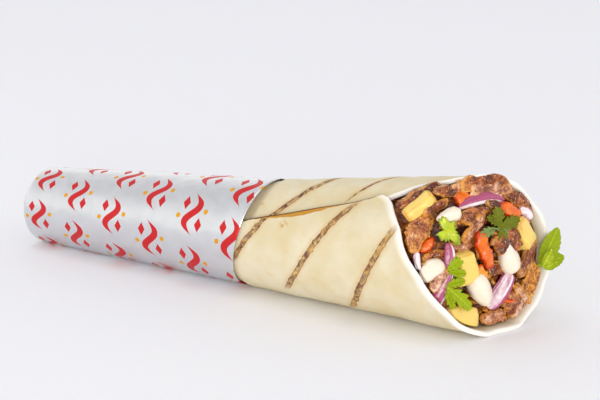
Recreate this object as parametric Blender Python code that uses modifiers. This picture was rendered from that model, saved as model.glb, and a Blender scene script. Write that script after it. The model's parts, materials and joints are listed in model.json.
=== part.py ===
"""A shawarma sandwich: a flatbread rolled round shaved meat, lying on its side in a foil sleeve.

The roll lies along X on the plane z = 0. Its closed end is at -X, inside the sleeve, and its mouth is at
+X, cut on the slant so that it opens towards -Y. Angles round the roll run from the near side, -Y, up over
the top. The filling is laid out on the mouth's slanting plane, whose own axes are (across, up, out).
"""

import math

import bmesh
import bpy
from mathutils import Matrix, Vector, noise

MM = 0.001

# The roll
CLOSED_END = -151 * MM
SLEEVE_EDGE = 0.5 * MM
CENTRING = (-0.2 * MM, -3.9 * MM, 0)  # puts the middle of the whole at the origin, mint and all
SLEEVE_EDGE_RADIUS = 28.9 * MM
TAPER = 0.0485  # radius gained for each unit of length
FLARE = 0.16 / (1000 * MM)  # extra radius past the sleeve, for each squared unit of length
FLAT = 0.9 * MM  # how far the roll has settled on the surface that it lies on
CREST = 4.2 * MM  # how far the filling props up the bread behind its seam
CREST_ALONG = (8 * MM, 85 * MM)  # it rises between these two
CREST_ROUND = (math.radians(52), math.radians(84), math.radians(96), math.radians(140))
GAP = 0.4 * MM  # clear space between pieces that touch
WELDS = (0.05 * MM, 0.01 * MM, 0.001 * MM, 0.0)  # tried in turn until the mesh stays closed

# The foil sleeve
FOIL = 0.5 * MM
SLEEVE_SLANT = 6.3 * MM  # the sleeve's edge is this much further forward on top than at its middle
END_ROUND = 4.0 * MM
END_PLEATS = 9
PLEAT_DEPTH = 1.1 * MM
SLEEVE_ROWS = 30
SLEEVE_END_COLUMNS = 3
SLEEVE_CORNER_COLUMNS = 2
SLEEVE_LENGTH_COLUMNS = 2

# The bread
BREAD = 2.6 * MM
SEAM_AT_SLEEVE = math.radians(27.5)
SEAM_TWIST = math.radians(0.47) / MM
SEAM_CORNER = 82.5 * MM  # how far forward the outer layer's corner reaches
ROLL_ANGLE = math.radians(425)
TUCK_START = math.radians(285)  # from here the sheet turns in, to pass under its own outer edge
TUCK_END = math.radians(350)
BREAD_ROWS = 36
BREAD_COLUMNS_IN_SLEEVE = 1
BREAD_COLUMNS_OUTSIDE = 10
CORNER_ROUND = math.radians(14)
FURTHEST_REACH = 146 * MM
FURTHEST_AT = math.radians(215)
REACH_SKEW = 1.1  # above 1, the edge runs forward later in the turn
HOLLOW = 34 * MM  # how much less far the inner layer reaches where it passes under the outer corner
HOLLOW_START = math.radians(327)
HOLLOW_END = math.radians(380)

# The mouth
MOUTH_CENTRE = Vector((126.5 * MM, 0.0, 36.4 * MM))
MOUTH_NORMAL = Vector((1.0, -0.48, 0.165)).normalized()
MOUTH_UP = (Vector((0, 0, 1)) - MOUTH_NORMAL.z * MOUTH_NORMAL).normalized()
MOUTH_ACROSS = MOUTH_UP.cross(MOUTH_NORMAL)
MOUTH_RADIUS = 32.4 * MM
FILLING_BULGE = 3.0 * MM
FILLING_SET_BACK = 1.0 * MM  # behind the bread's edge, where the bread reaches less far than the filling
FILLING_SHOULDER = 0.55  # share of the mouth's radius where the filling starts to fall back to that edge

# The meat that fills the roll
HEAP_SET_BACK = 5.5 * MM
HEAP_LUMP = 9.0 * MM
HEAP_LUMP_HEIGHT = 1.6 * MM
HEAP_ROWS = 24
HEAP_COLUMNS = 4
HEAP_RINGS = 5


# ---------------------------------------------------------------- the roll's own geometry


def smooth_step(low, high, value):
    """0 below low, 1 above high, and a smooth rise between."""
    t = min(1.0, max(0.0, (value - low) / (high - low)))
    return t * t * (3 - 2 * t)


def roll_radius(x):
    """The roll's outer radius at x: a slow taper that flares towards the mouth."""
    return SLEEVE_EDGE_RADIUS + TAPER * x + FLARE * max(0.0, x - SLEEVE_EDGE) ** 2


def crest(x, angle):
    """How far the roll stands out above its plain radius, on top towards the mouth."""
    rise, full, still_full, fall = CREST_ROUND
    turned = angle % (2 * math.pi)
    shape = smooth_step(rise, full, turned) * smooth_step(fall, still_full, turned)
    return CREST * smooth_step(*CREST_ALONG, x) * shape


def roll_point(x, angle, inset, floor=0.0):
    """A point on the roll, inset from its outer radius and never below floor."""
    radius = roll_radius(x) + crest(x, angle) - inset
    height = roll_radius(x) - FLAT + radius * math.sin(angle)
    return Vector((x, -radius * math.cos(angle), max(height, floor)))


def sleeve_edge(angle):
    """Where the sleeve ends, round the roll."""
    return SLEEVE_EDGE + SLEEVE_SLANT * math.sin(angle)


def seam_angle(x):
    """Where the bread's outer edge lies round the roll: outside the sleeve, it climbs towards the mouth."""
    return SEAM_AT_SLEEVE + SEAM_TWIST * min(max(0.0, x), SEAM_CORNER)


def tuck(roll_angle):
    """How far in the sheet lies, by roll angle from its outer edge."""
    return (BREAD + GAP) * smooth_step(TUCK_START, TUCK_END, roll_angle)


def rim_reach(roll_angle):
    """How far forward the sheet would reach if it were round, by roll angle from its outer edge."""
    turn = math.pi / 2 * (max(0.0, roll_angle) / FURTHEST_AT) ** REACH_SKEW
    return SEAM_CORNER + (FURTHEST_REACH - SEAM_CORNER) * math.sin(turn)


def rippled_reach(roll_angle):
    """The sheet's edge as it really runs: rippled, with a rounded outer corner and a hollow under it."""
    ripple = 0.8 * MM * math.sin(5 * roll_angle) + 0.5 * MM * math.sin(11 * roll_angle + 1)
    corner = max(0.0, 1 - roll_angle / CORNER_ROUND)
    hollow = HOLLOW * smooth_step(HOLLOW_START, HOLLOW_END, roll_angle)
    return rim_reach(roll_angle) + ripple - 5 * MM * corner**2 - hollow


def room_in_bread(x, angle):
    """How far the filling stays in from the roll's outer radius, under one layer of bread or two."""
    deepest = 0.0
    for margin in (-0.16, 0.0, 0.16):
        turned = (seam_angle(x) - angle + margin) % (2 * math.pi)
        inner = turned + 2 * math.pi
        deepest = max(deepest, tuck(inner) if inner < ROLL_ANGLE + 0.16 else tuck(turned))
    return FOIL + 2 * GAP + deepest + BREAD + GAP


def mouth_plane_x(y, z):
    """The x of the mouth's plane above a point of the cross-section."""
    drop = MOUTH_NORMAL.y * (y - MOUTH_CENTRE.y) + MOUTH_NORMAL.z * (z - MOUTH_CENTRE.z)
    return MOUTH_CENTRE.x - drop / MOUTH_NORMAL.x


def filling_front(y, z):
    """The x where the filling ends: the mouth's plane, bulging, and falling back to the bread's edge."""
    height = z - MOUTH_CENTRE.z
    radius = max(0.1 * MM, math.hypot(y, height))
    share = radius / MOUTH_RADIUS
    rolled = (seam_angle(SEAM_CORNER) - math.atan2(height, -y)) % (2 * math.pi)
    reach = rim_reach(rolled)
    if rolled + 2 * math.pi < ROLL_ANGLE:
        reach = max(reach, rim_reach(rolled + 2 * math.pi))
    at_edge = mouth_plane_x(y / share, height / share + MOUTH_CENTRE.z)
    fall = max(0.0, at_edge - reach + FILLING_SET_BACK) * smooth_step(FILLING_SHOULDER, 1.0, share)
    return mouth_plane_x(y, z) + FILLING_BULGE * (1 - min(1.15, share) ** 2) - fall


def filling_point(across, up):
    """The point of the filling's front at a place on the mouth's plane, in millimetres."""
    spot = MOUTH_CENTRE + (MOUTH_ACROSS * across + MOUTH_UP * up) * MM
    return Vector((filling_front(spot.y, spot.z), spot.y, spot.z))


def mouth_frame(across, up, out, turn=0, tip=0, lean=0):
    """Where a piece lies in the mouth: its place on the filling's front in millimetres, its turns in degrees.

    turn is about the way out of the mouth, tip about the piece's own length, and lean about its width.
    """
    right = filling_point(across + 3, up) - filling_point(across - 3, up)
    above = filling_point(across, up + 3) - filling_point(across, up - 3)
    normal = right.cross(above).normalized()
    right.normalize()
    axes = Matrix((right, normal.cross(right), normal)).transposed().to_4x4()
    place = Matrix.Translation(filling_point(across, up) + normal * out * MM) @ axes
    turned = Matrix.Rotation(math.radians(turn), 4, "Z") @ Matrix.Rotation(math.radians(lean), 4, "Y")
    return place @ turned @ Matrix.Rotation(math.radians(tip), 4, "X")


# ---------------------------------------------------------------- making objects


def material(name, colour, roughness, metallic=0.0):
    """A plain Principled material, made once for each name."""
    if name in bpy.data.materials:
        return bpy.data.materials[name]
    made = bpy.data.materials.new(name)
    made.use_nodes = True
    shader = made.node_tree.nodes["Principled BSDF"]
    shader.inputs["Base Color"].default_value = (*colour, 1.0)
    shader.inputs["Roughness"].default_value = roughness
    shader.inputs["Metallic"].default_value = metallic
    return made


def object_from(name, bm, finish, matrix=None):
    """A new object from a bmesh, which it frees, at matrix."""
    bmesh.ops.recalc_face_normals(bm, faces=bm.faces)
    if bm.calc_volume(signed=True) < 0:
        bmesh.ops.reverse_faces(bm, faces=bm.faces)
    mesh = bpy.data.meshes.new(name)
    bm.to_mesh(mesh)
    bm.free()
    mesh.shade_smooth()
    mesh.set_sharp_from_angle(angle=math.radians(40))
    made = bpy.data.objects.new(name, mesh)
    made.matrix_world = matrix or Matrix.Identity(4)
    mesh.materials.append(finish)
    sandwich.objects.link(made)
    return made


def shaped_grid(columns, rows, place):
    """A flat grid primitive whose every point moves to place(along, across), each from 0 to 1."""
    bm = bmesh.new()
    bmesh.ops.create_grid(bm, x_segments=columns, y_segments=rows, size=0.5)
    for vert in bm.verts:
        vert.co = place(vert.co.x + 0.5, vert.co.y + 0.5)
    bmesh.ops.remove_doubles(bm, verts=bm.verts, dist=0.02 * MM)
    bmesh.ops.dissolve_degenerate(bm, edges=bm.edges, dist=0.02 * MM)
    return bm


def thicken(obj, thickness, offset):
    """Gives an open surface its thickness."""
    wall = obj.modifiers.new("Thickness", "SOLIDIFY")
    wall.thickness = thickness
    wall.offset = offset
    wall.use_even_offset = True
    return obj


def settle(obj):
    """Replaces an object's modifiers by the mesh that they make, welded where it can be, as one body."""
    bpy.context.view_layer.update()
    graph = bpy.context.evaluated_depsgraph_get()
    mesh = bpy.data.meshes.new_from_object(obj.evaluated_get(graph))
    obj.modifiers.clear()
    obj.data = mesh
    for weld in WELDS:
        bm = bmesh.new()
        bm.from_mesh(mesh)
        bmesh.ops.remove_doubles(bm, verts=bm.verts, dist=weld)
        bmesh.ops.dissolve_degenerate(bm, edges=bm.edges, dist=weld)
        if all(edge.is_manifold for edge in bm.edges):
            break
        bm.free()
    bodies = loose_bodies(bm)
    largest = max(bodies, key=body_volume)
    scraps = [v for body in bodies if body is not largest for v in body]
    bmesh.ops.delete(bm, geom=scraps, context="VERTS")
    bm.to_mesh(mesh)
    bm.free()


def loose_bodies(bm):
    """The bmesh's vertices, grouped by the body that they belong to."""
    left, bodies = set(bm.verts), []
    while left:
        body, edge = set(), [left.pop()]
        while edge:
            vert = edge.pop()
            body.add(vert)
            for link in vert.link_edges:
                other = link.other_vert(vert)
                if other in left:
                    left.remove(other)
                    edge.append(other)
        bodies.append(body)
    return bodies


def body_volume(body):
    """The volume of a closed body, from the fans of its faces."""
    faces = {face for vert in body for face in vert.link_faces}
    total = 0.0
    for face in faces:
        first, *rest = [v.co for v in face.verts]
        for second, third in zip(rest, rest[1:]):
            total += first.dot(second.cross(third)) / 6
    return abs(total)


# ---------------------------------------------------------------- sleeve, bread and meat


def foil_sleeve():
    """The printed foil tube, its far end folded in with pleats."""

    columns = SLEEVE_END_COLUMNS + SLEEVE_CORNER_COLUMNS + SLEEVE_LENGTH_COLUMNS
    end_radius = roll_radius(CLOSED_END)
    start = CLOSED_END + END_ROUND

    def place(along, across):
        angle = 2 * math.pi * across
        column = round(along * columns)
        if column <= SLEEVE_END_COLUMNS:
            share = column / SLEEVE_END_COLUMNS
            pleats = PLEAT_DEPTH * share * (1 - share) * 4 * math.cos(END_PLEATS * angle)
            inset = end_radius - (end_radius - END_ROUND) * share
            return roll_point(CLOSED_END, angle, inset) + Vector((pleats, 0, 0))
        column -= SLEEVE_END_COLUMNS
        if column <= SLEEVE_CORNER_COLUMNS:
            corner = column / SLEEVE_CORNER_COLUMNS * math.pi / 2
            x = CLOSED_END + END_ROUND * (1 - math.cos(corner))
            return roll_point(x, angle, END_ROUND * (1 - math.sin(corner)))
        column -= SLEEVE_CORNER_COLUMNS
        x = start + (sleeve_edge(angle) - start) * column / SLEEVE_LENGTH_COLUMNS
        return roll_point(x, angle, 0.0)

    bm = shaped_grid(columns, SLEEVE_ROWS, place)
    foil = material("printed_foil", (0.75, 0.76, 0.78), 0.3, 0.9)
    return thicken(object_from("foil_sleeve", bm, foil), FOIL, -1)


def bread_sheet(name, first, last):
    """The rolled sheet between two roll angles, its outer edge lying on the layer below it."""
    columns = BREAD_COLUMNS_IN_SLEEVE + BREAD_COLUMNS_OUTSIDE
    rows = round(BREAD_ROWS * (last - first) / ROLL_ANGLE)

    def place(along, across):
        rolled = first + (last - first) * across
        column = round(along * columns)
        reach = rippled_reach(rolled)
        start = CLOSED_END + END_ROUND + GAP
        angle_guess = seam_angle(SLEEVE_EDGE) - rolled
        edge = sleeve_edge(angle_guess) + 2 * GAP
        if column <= BREAD_COLUMNS_IN_SLEEVE:
            x = start + (edge - start) * column / BREAD_COLUMNS_IN_SLEEVE
            held_in = FOIL + 2 * GAP
        else:
            x = edge + (reach - edge) * (column - BREAD_COLUMNS_IN_SLEEVE) / BREAD_COLUMNS_OUTSIDE
            held_in = 0.0
        return roll_point(x, seam_angle(x) - rolled, held_in + tuck(rolled), held_in)

    bm = shaped_grid(columns, rows, place)
    bread = material("flatbread", (0.85, 0.76, 0.58), 0.75)
    return thicken(object_from(name, bm, bread), BREAD, -1)


def room_for_bread():
    """Cutters that keep the filling off the bread, one for each of its layers, for grown layers overlap."""
    row = ROLL_ANGLE / BREAD_ROWS
    tuck_row = round(TUCK_START / row)
    outer = bread_sheet("outer_turn", 0.0, tuck_row * row)
    inner = bread_sheet("inner_turn", (tuck_row - 2) * row, ROLL_ANGLE)
    cutters = [grown_copy(outer), grown_copy(inner)]
    bpy.data.objects.remove(outer)
    bpy.data.objects.remove(inner)
    return cutters


def heap_point(share_out, angle):
    """A point of the heap's front: share_out runs from its middle to the bread."""
    x = MOUTH_CENTRE.x
    for _ in range(12):
        edge = roll_point(x, angle, room_in_bread(x, angle), BREAD + 2 * GAP)
        x = filling_front(edge.y, edge.z) - HEAP_SET_BACK
    spot = Vector((0, MOUTH_CENTRE.y, MOUTH_CENTRE.z)).lerp(Vector((0, edge.y, edge.z)), share_out)
    lumps = noise.noise(Vector((0, spot.y, spot.z)) / HEAP_LUMP) * HEAP_LUMP_HEIGHT * (1 - share_out**6)
    spot.x = filling_front(spot.y, spot.z) - HEAP_SET_BACK + lumps
    return spot


def meat_heap():
    """The shaved meat that fills the roll from end to end, lumpy where it shows."""
    back = CLOSED_END + 3 * END_ROUND

    def place(along, across):
        angle = 2 * math.pi * across
        ring = round(along * (HEAP_COLUMNS + HEAP_RINGS + 1))
        if ring < 1:
            point = roll_point(back, angle, room_in_bread(back, angle), FOIL + BREAD + 3 * GAP)
            return Vector((back, 0, roll_radius(back))).lerp(point, ring)
        if ring <= HEAP_COLUMNS + 1:
            front = heap_point(1.0, angle).x
            x = back + (front - back) * (ring - 1) / HEAP_COLUMNS
            return roll_point(x, angle, room_in_bread(x, angle), FOIL + BREAD + 3 * GAP)
        return heap_point(1 - (ring - HEAP_COLUMNS - 1) / HEAP_RINGS, angle)

    bm = shaped_grid(HEAP_COLUMNS + HEAP_RINGS + 1, HEAP_ROWS, place)
    return object_from("meat_heap", bm, material("roast_meat", (0.3, 0.14, 0.07), 0.6))


# ---------------------------------------------------------------- pieces of the filling


def meat_slice(name, length, width, thickness, curl, seed, matrix):
    """A shaved slice: a thin slab with a ragged outline, curled along its length and rippled."""

    def place(along, across):
        p, q = 2 * along - 1, 2 * across - 1
        ragged = 1 + 0.16 * noise.noise(Vector((p * 2.1, q * 2.1, seed)))
        x = length / 2 * p * math.sqrt(1 - 0.32 * q * q) * ragged
        y = width / 2 * q * math.sqrt(1 - 0.42 * p * p) * ragged
        ripple = 0.09 * width * noise.noise(Vector((p * 1.3, q * 1.3, seed + 7)))
        return Vector((x, y, curl * (0.33 - p * p) + ripple)) * MM

    bm = shaped_grid(5, 4, place)
    meat = material("roast_meat", (0.3, 0.14, 0.07), 0.6)
    return thicken(object_from(name, bm, meat, matrix), thickness * MM, 0)


def fry(name, length, width, thickness, bend, matrix):
    """A chip of potato: a bevelled bar, thinner at one end and slightly bent."""
    bm = bmesh.new()
    bmesh.ops.create_cube(bm, size=1.0)
    long_edges = [e for e in bm.edges if abs(e.verts[0].co.x - e.verts[1].co.x) > 0.5]
    bmesh.ops.subdivide_edges(bm, edges=long_edges, cuts=2)
    for vert in bm.verts:
        p = vert.co.x
        taper = 1 - 0.18 * (p + 0.5)
        z = vert.co.z * thickness * taper + bend * (0.25 - p * p)
        vert.co = Vector((p * length, vert.co.y * width * taper, z)) * MM
    potato = material("fried_potato", (0.85, 0.6, 0.16), 0.45)
    made = object_from(name, bm, potato, matrix)
    edges = made.modifiers.new("Edges", "BEVEL")
    edges.width = 1.3 * MM
    edges.segments = 1
    return made


def garlic_clove(name, length, width, taper, matrix):
    """A smooth white piece, a rounded drop that narrows towards one end."""
    bm = bmesh.new()
    bmesh.ops.create_uvsphere(bm, u_segments=10, v_segments=7, radius=0.5)
    for vert in bm.verts:
        p = vert.co.z
        girth = 1 - taper * (0.5 - p)
        vert.co = Vector((p * length, vert.co.x * width * girth, vert.co.y * width * girth)) * MM
    return object_from(name, bm, material("white_garlic", (0.85, 0.82, 0.72), 0.3), matrix)


def tomato_piece(name, length, width, thickness, matrix):
    """A chunk of tomato: a slice of wall, curved on its skin side, with soft edges."""
    bm = bmesh.new()
    bmesh.ops.create_cube(bm, size=1.0)
    bmesh.ops.subdivide_edges(bm, edges=bm.edges, cuts=2, use_grid_fill=True)
    for vert in bm.verts:
        p, q, r = vert.co * 2
        swell = (1.45 - 0.2 * (p * p + q * q + r * r)) / 1.25
        bow = 0.22 * width * (1 - p * p)
        vert.co = Vector((p * length * swell, q * width * swell, r * thickness * swell + bow)) * MM / 2
    return object_from(name, bm, material("tomato", (0.75, 0.13, 0.02), 0.3), matrix)


def onion_strip(name, radius, angle, height, thickness, flare, matrix):
    """Part of an onion ring: an upright wall on an arc, leaning out by flare."""

    def place(along, across):
        a = math.radians(angle) * (along - 0.5)
        q = across - 0.5
        fade = 1 - 0.45 * (2 * abs(along - 0.5)) ** 3
        reach = radius + flare * q - 0.2 * height * q * q
        return Vector((reach * math.sin(a), reach * math.cos(a) - radius, q * height * fade)) * MM

    bm = shaped_grid(8, 3, place)
    onion = material("red_onion", (0.55, 0.16, 0.36), 0.35)
    return thicken(object_from(name, bm, onion, matrix), thickness * MM, 0)


def lobed_outline(lobes, depth):
    """A leaf outline of pointed lobes, as (angle) -> share of the leaf's radius."""
    return lambda angle: 1 - depth * (1 - abs(math.cos(lobes * angle / 2)) ** 0.8)


def oval_outline(teeth):
    """A pointed oval outline with a toothed edge."""
    return lambda angle: (1 - 0.06 * (teeth * angle / (2 * math.pi) % 1)) * (
        0.55 + 0.45 * abs(math.cos(angle)) ** 1.5
    )


def leaf(name, length, width, outline, wave, segments, finish, matrix):
    """A thin wavy leaf, creased along its middle, both faces split alike."""

    def place(along, across):
        angle = 2 * math.pi * across
        reach = along * outline(angle)
        x, y = reach * math.cos(angle), reach * math.sin(angle)
        ripple = wave * along * math.sin(3 * angle + 1.3 * length) + 0.12 * width * abs(y)
        droop = -0.09 * length * x * x
        return Vector((x * length / 2, y * width / 2, ripple + droop)) * MM

    bm = shaped_grid(3, segments, place)
    bmesh.ops.triangulate(bm, faces=bm.faces)
    return thicken(object_from(name, bm, finish, matrix), 0.6 * MM, 0)


def mint_sprig():
    """Three mint leaves on a short stem, joined to one solid."""
    mint = material("mint_leaf", (0.2, 0.42, 0.03), 0.5)
    base = Vector((33.5, -9.5, 1.5))
    leaves = (
        ("mint_large", 22, 13, 54, -10, 10.4),
        ("mint_side", 17, 9.5, -4, -16, 8.0),
        ("mint_tip", 10, 6, 40, -50, 4.6),
    )
    parts = []
    for name, length, width, turn, lean, reach in leaves:
        at = mouth_frame(*base, turn=turn, lean=lean) @ Matrix.Translation(Vector((reach, 0, 0)) * MM)
        part = leaf(name, length, width, oval_outline(9), 0.25, 12, mint, at)
        part.modifiers["Thickness"].thickness = 0.9 * MM
        parts.append(part)
    stem_points = [base + Vector(step) for step in ((-6, -1, -7), (-3, -0.4, -3), (0, 0, 0), (2.6, 1.6, 1.0))]
    stem = tube("mint_sprig", [mouth_frame(*p).translation for p in stem_points], 1.3 * MM, mint)
    join = stem.modifiers.new("Join", "BOOLEAN")
    join.operation = "UNION"
    join.operand_type = "COLLECTION"
    join.collection = gather("mint_parts", parts)
    join.solver = "MANIFOLD"
    settle(stem)
    discard("mint_parts")
    return stem


def tube(name, points, radius, finish):
    """A round stalk through points, as a closed mesh."""
    curve = bpy.data.curves.new(name, "CURVE")
    curve.dimensions = "3D"
    spline = curve.splines.new("POLY")
    spline.points.add(len(points) - 1)
    for point, at in zip(spline.points, points):
        point.co = (*at, 1)
    curve.bevel_depth = radius
    curve.bevel_resolution = 1
    curve.use_fill_caps = True
    guide = bpy.data.objects.new(name + "_guide", curve)
    sandwich.objects.link(guide)
    bpy.context.view_layer.update()
    mesh = bpy.data.meshes.new_from_object(guide.evaluated_get(bpy.context.evaluated_depsgraph_get()))
    bm = bmesh.new()
    bm.from_mesh(mesh)
    bmesh.ops.remove_doubles(bm, verts=bm.verts, dist=0.01 * MM)
    bpy.data.objects.remove(guide)
    return object_from(name, bm, finish)


def gather(name, objects):
    """Moves objects to a collection of helpers, which is left out of the model."""
    helpers = bpy.data.collections.new(name)
    bpy.context.scene.collection.children.link(helpers)
    helpers.hide_render = True
    for obj in objects:
        for owner in list(obj.users_collection):
            owner.objects.unlink(obj)
        helpers.objects.link(obj)
        obj.hide_render = True
    return helpers


def discard(name):
    """Removes a collection of helpers with its objects."""
    helpers = bpy.data.collections[name]
    for obj in list(helpers.objects):
        bpy.data.objects.remove(obj)
    bpy.data.collections.remove(helpers)


# ---------------------------------------------------------------- fitting the pieces together


def box_of(obj):
    """The lowest and highest corner of an object in the world."""
    corners = [obj.matrix_world @ Vector(c) for c in obj.bound_box]
    low = Vector(min(c[i] for c in corners) for i in range(3))
    high = Vector(max(c[i] for c in corners) for i in range(3))
    return low, high


def boxes_meet(a, b):
    """Whether two boxes come within a millimetre of each other."""
    return all(a[0][i] - MM < b[1][i] and b[0][i] - MM < a[1][i] for i in range(3))


def grown_copy(obj):
    """A cutter a little larger than obj all round, so that what it cuts stays clear of obj."""
    settle(obj)
    cutter = bpy.data.objects.new(obj.name + "_room", obj.data.copy())
    cutter.matrix_world = obj.matrix_world
    grow = cutter.modifiers.new("Grow", "DISPLACE")
    grow.strength = 1.5 * GAP
    grow.mid_level = 0.0
    sandwich.objects.link(cutter)
    settle(cutter)
    return cutter


def make_room(obj, cutters):
    """Cuts the grown copies that reach obj out of it, in one Boolean."""
    bpy.context.view_layer.update()
    near = [c for c in cutters if boxes_meet(box_of(obj), box_of(c))]
    if not near:
        return
    copies = [bpy.data.objects.new(c.name + "_copy", c.data) for c in near]
    for copy, cutter in zip(copies, near):
        copy.matrix_world = cutter.matrix_world
    cut = obj.modifiers.new("Room", "BOOLEAN")
    cut.operation = "DIFFERENCE"
    cut.operand_type = "COLLECTION"
    cut.collection = gather("room_for_" + obj.name, copies)
    cut.solver = "MANIFOLD"
    settle(obj)
    discard("room_for_" + obj.name)


def fit_together(pieces, cutters):
    """Gives each piece its room: it yields to the cutters and to every piece before it in the list."""
    for piece in pieces:
        cutter = grown_copy(piece)
        make_room(piece, cutters)
        cutters.append(cutter)
    for cutter in cutters:
        bpy.data.objects.remove(cutter)


def leaves_and_herbs():
    """The herbs on top of the filling."""
    parsley = material("parsley", (0.12, 0.3, 0.02), 0.5)
    lettuce = material("lettuce", (0.45, 0.58, 0.03), 0.5)
    five = lobed_outline(5, 0.42)
    ragged = lobed_outline(7, 0.3)
    return [
        mint_sprig(),
        leaf("parsley_upper", 25, 16, five, 1.1, 15, parsley, mouth_frame(9.5, 16.5, 3.2, 6, 14, -8)),
        leaf("parsley_middle", 12, 9, five, 0.6, 10, parsley, mouth_frame(-19.5, -0.5, 3.0, 12, 10, -8)),
        leaf("parsley_lower", 25, 15, five, 0.9, 15, parsley, mouth_frame(-18.0, -13.5, 2.8, -54, -10, -6)),
        leaf("parsley_pale", 12, 6, ragged, 0.5, 10, lettuce, mouth_frame(-2.4, 13.4, 2.4, -14, 20, 0)),
        leaf("lettuce_scrap", 18, 13, ragged, 1.2, 16, lettuce, mouth_frame(-19.2, 15.4, 2.8, 74, 12, -12)),
    ]


def white_pieces():
    """The smooth white cloves."""
    return [
        garlic_clove("garlic_upper", 13, 7.6, 0.35, mouth_frame(-14.2, 22.5, 1.4, 14, 0, -8)),
        garlic_clove("garlic_right", 20, 12.5, 0.5, mouth_frame(14.2, -1.2, 0.6, -70, 0, -6)),
        garlic_clove("garlic_lower", 17.5, 12, 0.2, mouth_frame(-6.4, -14.6, 1.0, -72, 0, -8)),
        garlic_clove("garlic_left", 13.5, 12, 0.2, mouth_frame(-30.2, -1.0, 0.2, 58, 0, 0)),
    ]


def fries():
    """The chips of potato."""
    return [
        fry("fry_left", 17, 8, 7.4, 1.0, mouth_frame(-23.2, 26.8, -1.4, 36, 12, 0)),
        fry("fry_right", 14.5, 11, 8.5, 0.8, mouth_frame(25.0, 8.4, -0.2, -64, -14, 6)),
        fry("fry_middle", 14.5, 11.5, 8.5, 0.5, mouth_frame(-15.0, -1.8, 0.0, -82, 6, 6)),
        fry("fry_lower", 17, 9.6, 8.4, 1.2, mouth_frame(-15.8, -26.4, -0.4, -8, -16, 0)),
    ]


def tomatoes():
    """The pieces of tomato."""
    return [
        tomato_piece("tomato_upper", 9, 8, 4, mouth_frame(-6.0, 28.8, -0.6, 0, 0, 0)),
        tomato_piece("tomato_right", 14, 7, 4, mouth_frame(16.0, 21.0, 0.6, -35, 0, 0)),
        tomato_piece("tomato_middle", 19, 8, 4, mouth_frame(-4.6, 5.0, 1.6, -66, 0, 0)),
        tomato_piece("tomato_lower", 9, 9.5, 4, mouth_frame(-5.4, -5.0, 1.4, 0, 0, 0)),
        tomato_piece("tomato_left", 9, 6.5, 4, mouth_frame(-27.8, 9.3, -0.8, 40, 0, 0)),
        tomato_piece("tomato_sliver", 10, 3.2, 2.6, mouth_frame(10.0, -22.8, 2.2, -12, 20, 0)),
    ]


def onions():
    """The strips of red onion."""
    return [
        onion_strip("onion_upper", 15.7, 86, 5.6, 2.2, 0.0, mouth_frame(2.3, 29.0, 1.2, -2, 52, 0)),
        onion_strip("onion_left", 27, 64, 5.5, 2.2, 0.0, mouth_frame(-24.6, -3.2, 0.8, -108, 30, 0)),
        onion_strip("onion_lower", 30, 38, 7.4, 2.6, 0.0, mouth_frame(5.0, -17.0, 1.4, 50, -70, 0)),
        onion_strip("onion_right", 12, 40, 6.0, 2.2, 0.0, mouth_frame(28.2, 16.8, 0.6, -20, -60, 0)),
        onion_strip("onion_chip", 12, 40, 5.0, 2.2, 0.0, mouth_frame(-34.6, 3.0, 0.2, 62, -50, 0)),
    ]


def meat_slices():
    """The shaved slices that show at the mouth, from the topmost down."""
    return [
        meat_slice("meat_centre", 19, 15.5, 3.2, 1.6, 3, mouth_frame(9.5, 7.0, 1.6, 0, 0, -6)),
        meat_slice("meat_fold", 20.5, 6.5, 3.0, 1.2, 5, mouth_frame(-7.5, 16.3, 1.4, 27, 20, 0)),
        meat_slice("meat_knuckle", 17, 9, 3.8, 1.4, 10, mouth_frame(-5.8, 21.8, 1.3, 12, -10, 0)),
        meat_slice("meat_over_onion", 10.5, 6.5, 2.8, 1.0, 13, mouth_frame(6.2, 24.3, 1.2, -20, 0, 0)),
        meat_slice("meat_left", 19, 12.5, 3.6, 2.0, 17, mouth_frame(-27.5, 16.2, 0.2, 60, 0, 0)),
        meat_slice("meat_strip", 16, 6.5, 3.2, 1.2, 21, mouth_frame(-16.9, 25.3, 0.6, 30, 14, 0)),
        meat_slice("meat_curl", 11, 8, 3.4, 1.6, 25, mouth_frame(-13.8, 31.6, 0.6, -18, -10, 0)),
        meat_slice("meat_back", 22, 9.5, 3.2, 0.8, 29, mouth_frame(-22.0, 32.0, -4.4, 18, 0, 0)),
        meat_slice("meat_top", 32, 8, 3.6, 0.8, 33, mouth_frame(4.0, 36.6, 1.4, -4, 0, 0)),
        meat_slice("meat_top_inner", 22, 6.5, 3.2, 0.6, 37, mouth_frame(6.5, 32.6, 0.8, -7, 0, 0)),
        meat_slice("meat_top_right", 21, 12, 3.4, 2.4, 41, mouth_frame(23.0, 25.4, 0.0, -33, 0, 0)),
        meat_slice("meat_right", 20, 8, 3.2, 1.0, 45, mouth_frame(23.6, -6.0, -0.2, 55, 0, 0)),
        meat_slice("meat_browned", 20, 14, 3.2, 1.0, 49, mouth_frame(26.4, -18.2, -0.8, 62, 0, 0)),
        meat_slice("meat_low_right", 16, 15.5, 3.4, 1.6, 53, mouth_frame(14.6, -25.6, 0.2, 0, 0, 0)),
        meat_slice("meat_low", 13, 8, 3.2, 1.0, 57, mouth_frame(0.5, -30.2, -0.2, 0, 0, 0)),
        meat_slice("meat_low_left", 13, 8.5, 3.2, 1.0, 61, mouth_frame(-25.2, -18.6, -1.0, -40, 0, 0)),
        meat_slice("meat_near", 12.5, 6, 2.8, 1.4, 65, mouth_frame(-31.6, -5.4, 2.6, 42, 0, 0)),
        meat_slice("meat_deep", 12, 8, 3.0, 0.8, 69, mouth_frame(-15.0, 8.2, -0.8, -10, 0, 0)),
        meat_slice("meat_inner", 12.5, 8.5, 3.0, 1.0, 73, mouth_frame(5.2, -6.8, -1.6, -10, 0, 0)),
    ]


def clear_scene():
    """Removes what the scene starts with."""
    for obj in list(bpy.data.objects):
        bpy.data.objects.remove(obj)


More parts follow.
